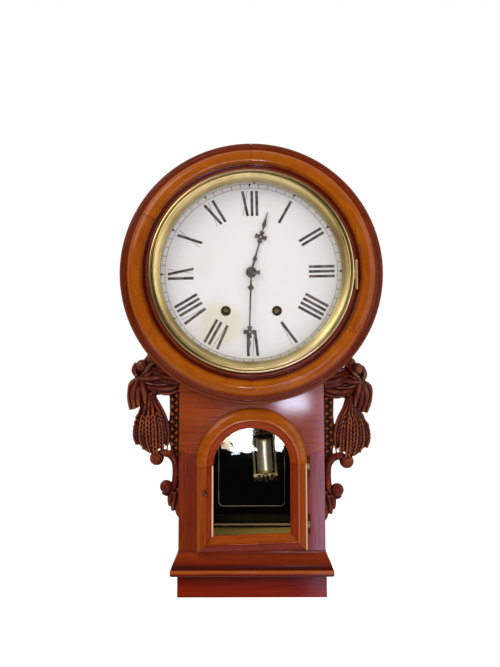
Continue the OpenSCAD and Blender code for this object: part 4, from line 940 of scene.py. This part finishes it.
# The trunk's front: a veneered panel over the door's arch with its grain across, let down
# into two stiles with their grain upright, and a rail below. French polished, golden where
# the light has faded it, with the edges rubbed pale.
panel_wood = wood("panel_wood", (0.34, 0.056, 0.003), (0.13, 0.013, 0.002), long=0.09,
                  wide=0.005, cloud=0.2, coat=1.0, gloss=0.36)
rail_wood = wood("rail_wood", (0.30, 0.046, 0.004), (0.12, 0.012, 0.002))
stile_wood = wood("stile_wood", (0.29, 0.036, 0.002), (0.105, 0.008, 0.001), upright,
                  cloud=0.3, coat=0.9)
for board, slot, finish in (("trunk_panel", "case_veneer", panel_wood),
                            ("trunk_bottom_rail", "case_veneer", rail_wood),
                            ("trunk_stile_left", "stile_wood", stile_wood),
                            ("trunk_stile_right", "stile_wood", stile_wood)):
    eased_board(board, slot, finish, 0.6)

# The base: a canted moulding in three mitred lengths on a slab with rounded edges and a
# plinth of three boards. All of it is stained redder. Its colour follows the height as
# painted light and shade: the cant's hollow, partly also old varnish, and its top under
# the door, the slab's lower face and the plinth's top under the slab are painted dark as
# shade, and the slab's upper edge golden where the light falls.
front_face = 92.0


def span(low, high):
    """The right side, foot, top, back and front of a box, in mm from the dial and the wall."""
    return (high.x / mm, (low.z - middle.z) / mm, (high.z - middle.z) / mm,
            -high.y / mm, -low.y / mm)


def skin(bm, loops):
    """Joins loops of edges one after the other, closes both ends and gives the last band."""
    for first, second in zip(loops, loops[1:]):
        band = bmesh.ops.bridge_loops(bm, edges=first + second)["faces"]
    for end in (loops[0], loops[-1]):
        bmesh.ops.contextual_create(bm, geom=end)
    return band


def run_round_base(bm, section):
    """Runs a closed section of (out, height) round the left, front and right of the trunk."""
    skin(bm, [loop_of(bm, [clock_point(side * (trunk_side + out), height,
                                       forward * (front_face + out))
                           for out, height in section])[1]
              for side, forward in ((-1, 0), (-1, 1), (1, 1), (1, 0))])


def base_finish(name, foot, head, stops):
    """Varnish whose tone, with its painted light and shade, follows the height, as a share of the
    way from foot to head.
    """
    made, shader, place = finish_of(name)
    height = (place.part(2) - middle.z) / mm
    grain = place.scaled(8, 60, 200).noise(1, 4, 0.62, 0.5)
    lines = place.scaled(13, 300, 520).noise(1, 3, 0.6, 0.4)
    polish_and_light = ((height - foot) / (head - foot) + (grain - 0.5) * 0.10).ramp(*stops)
    share = 0.80 + (grain - 0.5) * 1.5 - lines.step(0.55, 0.72) * 0.45
    dirt = polish_and_light.stained((0.42, 0.25, 0.22))
    varnish(shader, share.clamped().between(dirt, polish_and_light), 0.36, 0.35, grain, 0.12)
    return made


bm = bmesh.new()
cant_foot, cant_top = span(*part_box("base_moulding"))[1:3]
cant_out_down = ((0, 0), (0.15, 3.5), (1.5, 7.0), (3.7, 11.6), (5.8, 15.6), (7.8, 19.2),
                 (9.0, 21.6), (9.2, 24.4), (10.0, 26))
run_round_base(bm, [(out, cant_top - down) for out, down in cant_out_down]
               + [(10.9, cant_foot), (0, cant_foot)])
# The cant: dark at its foot in the hollow and at its top, painted shade, partly also old varnish
# in the hollow.
cant_wood = base_finish("base_moulding_wood", cant_foot, cant_top, (
    (0.0, (0.055, 0.004, 0.001)), (0.22, (0.070, 0.005, 0.001)), (0.30, (0.16, 0.015, 0.002)),
    (0.75, (0.25, 0.030, 0.002)), (0.92, (0.19, 0.021, 0.003)), (1.0, (0.06, 0.005, 0.001))))
# The slab: its lower face painted dark as shade, its upper edge golden as painted light.
slab_wood = base_finish("base_slab_wood", *span(*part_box("base_slab"))[1:3], (
    (0.0, (0.05, 0.004, 0.001)), (0.44, (0.14, 0.011, 0.001)), (0.56, (0.34, 0.066, 0.006)),
    (0.88, (0.37, 0.080, 0.008)), (1.0, (0.24, 0.035, 0.004))))
# The plinth: darkening towards its top, a painted shadow under the slab.
plinth_wood = base_finish("plinth_wood", *span(*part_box("plinth"))[1:3], (
    (0.0, (0.20, 0.013, 0.001)), (0.25, (0.23, 0.014, 0.001)), (0.62, (0.16, 0.008, 0.001)),
    (0.90, (0.085, 0.006, 0.001)), (1.0, (0.04, 0.003, 0.001))))
piece("base_moulding_run", bm, "root", "dark_wood", [cant_wood], ["base_moulding"], 30)
eased_board("base_slab", "dark_wood", slab_wood, 3.4, 4)
eased_board("plinth", "dark_wood", plinth_wood, 1.3, 3)

# The door: an arched head cut from one board, two stiles and a foot rail, all of one
# moulding, butted at the spring of the arch and mitred at the foot. The moulding swells
# from the outer edge to a ridge and falls in a cove to the glass. Its colour is painted by
# where the light falls: golden where a slope turns to the light, dark red as painted shade
# where it turns away, partly also a red stain in the cove; pale edges are painted highlight.
door_half, spring, _, door_back, _ = span(*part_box("door_arch"))
door_foot = span(*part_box("door_rail"))[1]
door_thick, frame_wide, foot_drop = 16, 28.0, 1.2
arch_middle, arch_drop, arch_swell = clock_point(0, spring, 0), 4.4, 2.0
moulding = [(0, 0), (0, 4.5), (0.5, 7.0), (1.6, 9.2), (3.4, 11.2), (6.0, 13.0), (9.5, 14.6),
            (13.0, 15.6), (15.5, door_thick), (16.8, 15.7), (17.8, 14.2), (19.0, 12.0),
            (20.8, 9.8), (23.2, 8.2), (25.6, 7.3), (27.4, 6.8), (frame_wide, 6.2),
            (frame_wide, 3.4), (23.0, 3.4), (23.0, 0)]


def moulded_length(bm, place_at):
    """A straight length of the moulding; place_at gives a point for (in, high, end)."""
    skin(bm, [loop_of(bm, [place_at(inward, high, end) for inward, high in moulding])[1]
              for end in (0, 1)])


def mark(made, name, value_at):
    """Keeps a value on each point of a piece, which its colour can follow."""
    kept = made.data.attributes.new(name, "FLOAT", "POINT")
    for vertex, value in zip(made.data.vertices, kept.data):
        value.value = value_at(vertex.co)


def door_finish(name, turn, face_tone_as_lit, cove_tone_as_lit, lit_edge_band=(40, 41)):
    """Varnish coloured by how far in a point lies, with painted light and shade, and a painted
    highlight past one line.
    """
    made, shader, place = finish_of(name)
    inward = place.kept("inward")
    grain = place.turned(turn).scaled(11, 170, 170).noise(1, 4, 0.62, 0.5)
    patches = place.noise(30, 3, 0.6, 0.5)
    # The face and cove tones mix across the moulding: painted light where it turns to the light,
    # painted shade where it turns away.
    to_cove = (inward + (patches - 0.5) * 5).step(15.2, 17.6)
    polish_and_light = to_cove.between(face_tone_as_lit, cove_tone_as_lit)
    dirt = polish_and_light.stained((0.45, 0.30, 0.25))
    share = 0.68 + (grain - 0.5) * 1.5 + (patches - 0.5) * 0.6
    # A pale band past one line is a painted highlight, on an edge that turns to the light.
    rubbed_and_lit_edge = inward.step(*lit_edge_band) * patches.step(0.22, 0.36)
    varnish(shader, rubbed_and_lit_edge.between(share.clamped().between(dirt, polish_and_light), lit_edge_tone),
            0.32 + (grain - 0.5) * 0.1, 0.4, grain)
    return made


# The arch: a golden face turned up to the light and a cherry cove turned down, painted light and
# shade, partly also a red stain in the cove.
lit_golden, shaded_cherry, lit_edge_tone = (0.39, 0.084, 0.002), (0.33, 0.040, 0.001), (0.78, 0.50, 0.27)
arch_wood = door_finish("door_arch_wood", level_grain, lit_golden, shaded_cherry)
# The stiles: a lighter face and a darker cove, painted light and shade, partly also a stain in
# the cove.
stile_face_lit, stile_cove_shaded = (0.33, 0.060, 0.003), (0.27, 0.030, 0.001)
# The left stile's edge by the glass and the right stile's outer edge get the painted highlight.
left_polish_and_light = door_finish("door_left_stile_wood", upright, stile_face_lit, stile_cove_shaded, (25.2, 26.0))
right_polish_and_light = door_finish("door_right_stile_wood", upright, stile_face_lit, stile_cove_shaded, (3.2, 2.4))
# The rail: its face, turned down, is painted dark as shade; its cove, turned up, golden as
# painted light.
rail_polish_and_light = door_finish("door_rail_wood", level_grain, (0.200, 0.014, 0.001),
                          (0.36, 0.064, 0.003))
door_sag, joint_gap, mitre_gap = 0.030, 0.5, 0.15


def let_sag(made):
    """The door has dropped a little at its latch side, so its frame is out of square."""
    for vertex in made.data.vertices:
        vertex.co.z += door_sag * vertex.co.x


bm = bmesh.new()
spin_loop(bm, [clock_point(door_half - inward, spring, door_back + high)
               for inward, high in moulding], arch_middle, 180, 64)
door_arch = piece("door_arch_moulded", bm, "door", "dark_wood", [arch_wood], ["door_arch"], 40)
mark(door_arch, "inward", lambda co: door_half - (co - arch_middle).xz.length / mm)
for vertex, inward in zip(door_arch.data.vertices, door_arch.data.attributes["inward"].data):
    spot = vertex.co - arch_middle
    rise = math.atan2(max(spot.z, 0), abs(spot.x))
    inner = inward.value / frame_wide
    spot.x, spot.z = (v * (1 + arch_swell / door_half * (1 - inner) * math.sin(2 * rise))
                      for v in (spot.x, spot.z))
    spot.z -= arch_drop * mm * inner * math.sin(rise)
    vertex.co = spot + arch_middle
let_sag(door_arch)

for side, name, polish_and_light in ((-1, "door_stile_left", left_polish_and_light),
                           (1, "door_stile_right", right_polish_and_light)):
    bm = bmesh.new()
    moulded_length(bm, lambda inward, high, end: clock_point(
        side * (door_half - inward),
        door_foot + inward - foot_drop if end else spring - joint_gap, door_back + high))
    made = piece(name + "_moulded", bm, "door", "dark_wood", [polish_and_light], [name], 40)
    mark(made, "inward", lambda co: door_half - abs(co.x - middle.x) / mm)
    let_sag(made)
bm = bmesh.new()
moulded_length(bm, lambda inward, high, end: clock_point(
    (end * 2 - 1) * (door_half - inward - mitre_gap), door_foot + inward - foot_drop,
    door_back + high))
made = piece("door_rail_moulded", bm, "door", "dark_wood", [rail_polish_and_light], ["door_rail"], 40)
mark(made, "inward", lambda co: (co.z - middle.z) / mm - door_foot + foot_drop)
let_sag(made)
dress(window_glass("door_pane"), "door_glass")

# The door's fittings: brass hinges with three knuckles at the right, and a turned knob at
# the left, darkened by hands, whose spindle carries the latch.
hinge_brass = brass("hinge_brass", (0.70, 0.52, 0.24), (0.26, 0.17, 0.07), 0.34, worn=0.4)
dress(hinge_brass, "door_leaves", "hanger_plate")
dress(brass("varnished_brass", (0.22, 0.05, 0.02), (0.07, 0.015, 0.008), 0.4, worn=0.4),
      "door_hinge_plates")


def turned_part(bm, profile, place, steps=32):
    """Turns a profile of (radius, height) in mm about the Z axis of a placing matrix."""
    corners = [bm.verts.new(place @ Vector((r * mm, 0, h * mm))) for r, h in profile]
    edges = [bm.edges.new(pair) for pair in zip(corners, corners[1:])]
    bmesh.ops.spin(bm, geom=corners + edges, cent=place.translation, steps=steps,
                   axis=place.to_3x3() @ Vector((0, 0, 1)), angle=2 * math.pi, use_merge=True)


joint_place = {row["name"]: Vector(row["pos_m"])
               for row in frame["record"]["behaviour"]["joints"]}
knob_low, knob_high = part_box("door_knob")
knob_place = joint_place["knob_turn"].copy()
knob_place.y = -(door_back + door_thick) * mm
knob_reach = (knob_place.y - knob_low.y) / mm
spindle_end = (knob_place.y - knob_high.y) / mm
knob_profile = [(0, spindle_end), (2, spindle_end), (2, -0.6), (4.0, -0.6), (4.1, 0.4),
                (3.5, 1.4), (2.4, 2.0), (2.1, 3.2), (2.5, 4.2), (3.7, 5.6), (4.3, 7.6),
                (4.4, 9.2), (4.0, 11.2), (2.9, 12.8), (1.5, 13.4), (0, min(13.6, knob_reach))]
latch_size, latch_in, latch_up = (5, 2.4, 13, 1), 1.25, 4
bm = bmesh.new()
turned_part(bm, knob_profile,
            Matrix.Translation(knob_place) @ Matrix.Rotation(math.radians(90), 4, "X"))
latch = bmesh.ops.create_cube(bm, size=mm, matrix=Matrix.Translation(
    (knob_place.x, knob_high.y - latch_in * mm, knob_place.z + latch_up * mm))
    @ Matrix.Diagonal(latch_size))
latch_edges = dict.fromkeys(e for v in latch["verts"] for e in v.link_edges)
bmesh.ops.bevel(bm, geom=list(latch_edges), offset=0.4 * mm, offset_type="OFFSET",
                affect="EDGES", segments=2, profile=0.5, material=-1)
knob_brass = brass("knob_brass", (0.34, 0.16, 0.08), (0.07, 0.025, 0.015), 0.3, worn=0.3)
piece("door_knob_turned", bm, "door_knob", "case_brass", [knob_brass], ["door_knob"])

# Behind the door: a bevelled looking glass with old dark silvering lies on the backboard
# from the arch down to the pine floor, and shows the room behind the camera.
mirror_half, mirror_foot, mirror_top, mirror_back, mirror_face = span(*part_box("mirror"))


def glass_loop(bm, half, foot, top, corner, depth):
    """A closed loop of a rectangle with rounded corners on one depth."""
    spots = []
    for x, z, start in ((half - corner, top - corner, 0), (corner - half, top - corner, 90),
                        (corner - half, foot + corner, 180), (half - corner, foot + corner, 270)):
        spots += arc(x, z, corner, start, start + 90, 6)
    return loop_of(bm, [clock_point(x, z, depth) for x, z in spots])[1]


bm = bmesh.new()
loops = [glass_loop(bm, mirror_half - side, mirror_foot + low, mirror_top - side, corner, depth)
         for side, low, corner, depth in (
             (0, 0, 1, mirror_back), (0, 0, 1, mirror_face - 1.2),
             (11.2, 38.3, 8.4, mirror_face - 0.2), (12.4, 39.6, 7.6, mirror_face))]
for face in skin(bm, loops):
    face.material_index = 1
silvering, shader, place = finish_of("mirror_silvering")
foxing = place.noise(38, 5, 0.7, 0.4).step(0.60, 0.78)
fill(shader, {"Base Color": foxing.between((0.034, 0.038, 0.042), (0.016, 0.012, 0.009)),
              "Metallic": 1.0, "Roughness": 0.015 + foxing * 0.1})
bevel_line, shader, place = finish_of("mirror_bevel_line")
fill(shader, {"Base Color": place.noise(30, 3).step(0.35, 0.65).between(
    (0.20, 0.18, 0.10), (0.55, 0.50, 0.34)), "Metallic": 0.5, "Roughness": 0.35})
piece("mirror_bevelled", bm, "root", "mirror_glass", [silvering, bevel_line], ["mirror"], 3)
bm = bmesh.new()
bead_low, bead_half, bead_r = mirror_foot + 4.6, mirror_half - 2.5, 1.5
bead = ([(mirror_face - 1.6, bead_low + 2 * bead_r)]
        + arc(mirror_face + 0.6, bead_low + bead_r, bead_r, 90, -90, 8)
        + [(mirror_face - 1.6, bead_low)])
skin(bm, [loop_of(bm, [clock_point(side * bead_half, z, depth) for depth, z in bead])[1]
          for side in (-1, 1)])
piece("mirror_foot_bead", bm, "root", "back_wood",
      [wood("bead_wood", (0.95, 0.72, 0.45), (0.62, 0.38, 0.18), coat=0.3)])

# The pendulum: a steel rod on its spring, and a nickelled tube made to look like mercury,
# between brass caps, with a rope-twisted column at each side and scrolls above and below.
bob_low, bob_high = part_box("bob_tube")
bob_middle = (bob_low + bob_high) / 2
rising = (joint_place["pendulum_swing"] - bob_middle).normalized()
sideways = Vector((0, 1, 0)).cross(rising)
hung = Matrix((sideways, Vector((0, 1, 0)), rising)).transposed().to_4x4()
hung.translation = bob_middle
tube_half, tube_r, column_out = 26.0, 13.5, 19.0


def hung_point(across, height, forward=0.0):
    return hung @ (Vector((across, -forward, height)) * mm)


bm = bmesh.new()
turned_part(bm, [(0, -tube_half), (tube_r - 1, -tube_half), (tube_r, 1 - tube_half),
                 (tube_r, tube_half - 1), (tube_r - 1, tube_half), (0, tube_half)], hung, 64)
nickel, shader, place = finish_of("bob_nickel")
breath = place.scaled(60, 60, 14).noise(1, 4)
fill(shader, {"Base Color": breath.step(0.35, 0.7).between((0.68, 0.67, 0.38),
                                                           (0.94, 0.94, 0.60)),
              "Metallic": 0.75, "Roughness": 0.34 + (breath - 0.5) * 0.14})
piece("bob_tube_drawn", bm, "pendulum", "bob_silver", [nickel], ["bob_tube"])

gilt = brass("bob_gilt", (1.0, 0.86, 0.38), (0.55, 0.38, 0.12), 0.34, worn=0.8)
dark_gilt = brass("bob_gilt_dark", (0.30, 0.22, 0.11), (0.030, 0.022, 0.014), 0.34, worn=0.3)
rope_turns, rope_steps, rope_r, strand_r, rope_foot, rope_head = 6.8, 120, 1.20, 1.18, -32, 35
bm = bmesh.new()
for side in (-1, 1):
    for strand in range(2):
        run = []
        for k in range(rope_steps + 1):
            turn = side * 2 * math.pi * rope_turns * k / rope_steps + math.pi * strand
            run.append(hung_point(side * column_out + rope_r * math.cos(turn),
                                  rope_foot + (rope_head - rope_foot) * k / rope_steps,
                                  rope_r * math.sin(turn)))
        limb(bm, run, [strand_r * mm] * len(run), sides=8)
rope_gilt = gilt.copy()
rope_gilt.name = "bob_rope_gilt"
rope_shader = rope_gilt.node_tree.nodes["Principled BSDF"]
rubbed_tone = Signal(rope_gilt.node_tree, rope_shader.inputs["Base Color"].links[0].from_socket)
# The grooves between the strands are painted dark as shade, for the shading of the twist.
proud = rubbed_tone.kept("proud")
fill(rope_shader, {"Base Color": proud.step(0.25, 0.75).between((0.15, 0.085, 0.02),
                                                               rubbed_tone)})
ropes = piece("bob_rope_columns", bm, "pendulum", "bob_brass", [rope_gilt], ["bob_columns"])
to_bob = hung.inverted()


def proud_of_rope(co):
    """0 on a rope's core and 1 on the backs of its strands."""
    spot = to_bob @ co / mm
    return (math.hypot(abs(spot.x) - column_out, spot.y) - rope_r) / strand_r


mark(ropes, "proud", proud_of_rope)

cap_r = tube_r + 1.6
bm = bmesh.new()
crown = [(0, 0), (cap_r - 1.2, 0), (cap_r - 0.2, 0.6), (cap_r, 1.6), (cap_r - 0.3, 2.6),
         (cap_r - 1.6, 3.2), (cap_r - 2.2, 4.2), (cap_r - 4.4, 5.0), (6.0, 5.8), (4.2, 7.0),
         (3.0, 9.0), (3.0, 11.0), (4.2, 12.2), (4.5, 13.2), (3.8, 14.6), (2.4, 16.4),
         (2.2, 18.2), (2.8, 19.2), (2.0, 20.4), (2.0, 21.8), (0, 21.8)]
turned_part(bm, crown, hung @ Matrix.Translation((0, 0, tube_half * mm)))
foot = [(0, 0), (cap_r - 1.2, 0), (cap_r, -1.0), (cap_r - 0.2, -2.4), (cap_r - 2.0, -3.4),
        (cap_r - 3.0, -4.6), (7.0, -6.0), (4.6, -7.6), (3.0, -10.0), (3.4, -11.4),
        (4.7, -12.8), (4.4, -14.2), (2.6, -16.0), (2.4, -17.2), (3.4, -18.6), (3.2, -20.2),
        (2.0, -22.2), (0, -24.0)]
turned_part(bm, foot, hung @ Matrix.Translation((0, 0, -tube_half * mm)))
socket_in, curl_steps, curl_r, curl_taper = 3.6, 18, 1.5, 0.5
socket = [(0, -socket_in), (2.6, -socket_in), (3.4, -2.4), (3.6, 0), (3.2, 1.8), (2.2, 2.8),
          (1.7, 4.2), (2.7, 5.2), (3.0, 6.4), (2.4, 8.0), (1.2, 9.6), (0.9, 10.8), (0, 11.6)]
for side in (-1, 1):
    for height, flip in ((rope_head + socket_in, 1), (rope_foot - socket_in, -1)):
        place = hung @ Matrix.Translation(Vector((side * column_out, 0, height)) * mm)
        turned_part(bm, [(r, flip * h) for r, h in socket], place, 20)
        for curl in (((18, 0), (14, 3.0), (9.5, 4.6), (6.4, 3.2), (6.8, 1.0), (8.8, 1.4)),
                     ((17, 1), (14, 6.6), (10, 9.0), (7.0, 8.0), (6.6, 6.0), (8.2, 5.6)),
                     ((18, -1), (12, -1.6), (6, -1.2), (0, -0.8))):
            chain = [between_points(curl, k / curl_steps) for k in range(curl_steps + 1)]
            limb(bm, [hung_point(side * x, height + flip * h) for x, h in chain],
                 [(curl_r - curl_taper * k / curl_steps) * mm for k in range(len(chain))],
                 sides=10)
mounts = piece("bob_scroll_mounts", bm, "pendulum", "bob_brass", [gilt, dark_gilt],
               ["bob_mounts"], 50)
dark_above, dark_below = tube_half + 4.0, -tube_half - 12
for face in mounts.data.polygons:
    height = (to_bob @ face.center).z / mm
    face.material_index = 1 if height > dark_above or height < dark_below else 0

# The movement: two cut brass plates on riveted pillars between which the wheels run, on
# four feet screwed to the backboard. The plates are smooth from the rollers and spotted.
plate_brass = brass("plate_brass", (0.74, 0.55, 0.24), (0.36, 0.25, 0.11), 0.32, (1, 1, 14))
wheel_brass = brass("wheel_brass", (0.80, 0.62, 0.28), (0.46, 0.33, 0.14), 0.28)
dress(plate_brass, "movement_feet", "movement_back_plate", "movement_front_plate",
      "suspension_cock")
dress(wheel_brass, "centre_arbor", "hour_wheel", "minute_wheel", "time_great_wheel",
      "second_wheel", "third_wheel", "escape_wheel", "strike_great_wheel",
      "strike_pin_wheel", "strike_locking_wheel", "strike_fly")
dress(brass("eyelet_brass", (0.20, 0.13, 0.07), (0.05, 0.03, 0.02), 0.4, worn=0.4),
      "winding_grommets")
dress(steel("spring_steel", (0.46, 0.46, 0.47), (0.20, 0.20, 0.22), 0.3), "mainsprings",
      "hammer", "verge_and_crutch", "pendulum_rod")
dress(steel("gong_iron", (0.07, 0.07, 0.08), (0.02, 0.018, 0.018), 0.5, 0.6), "gong")
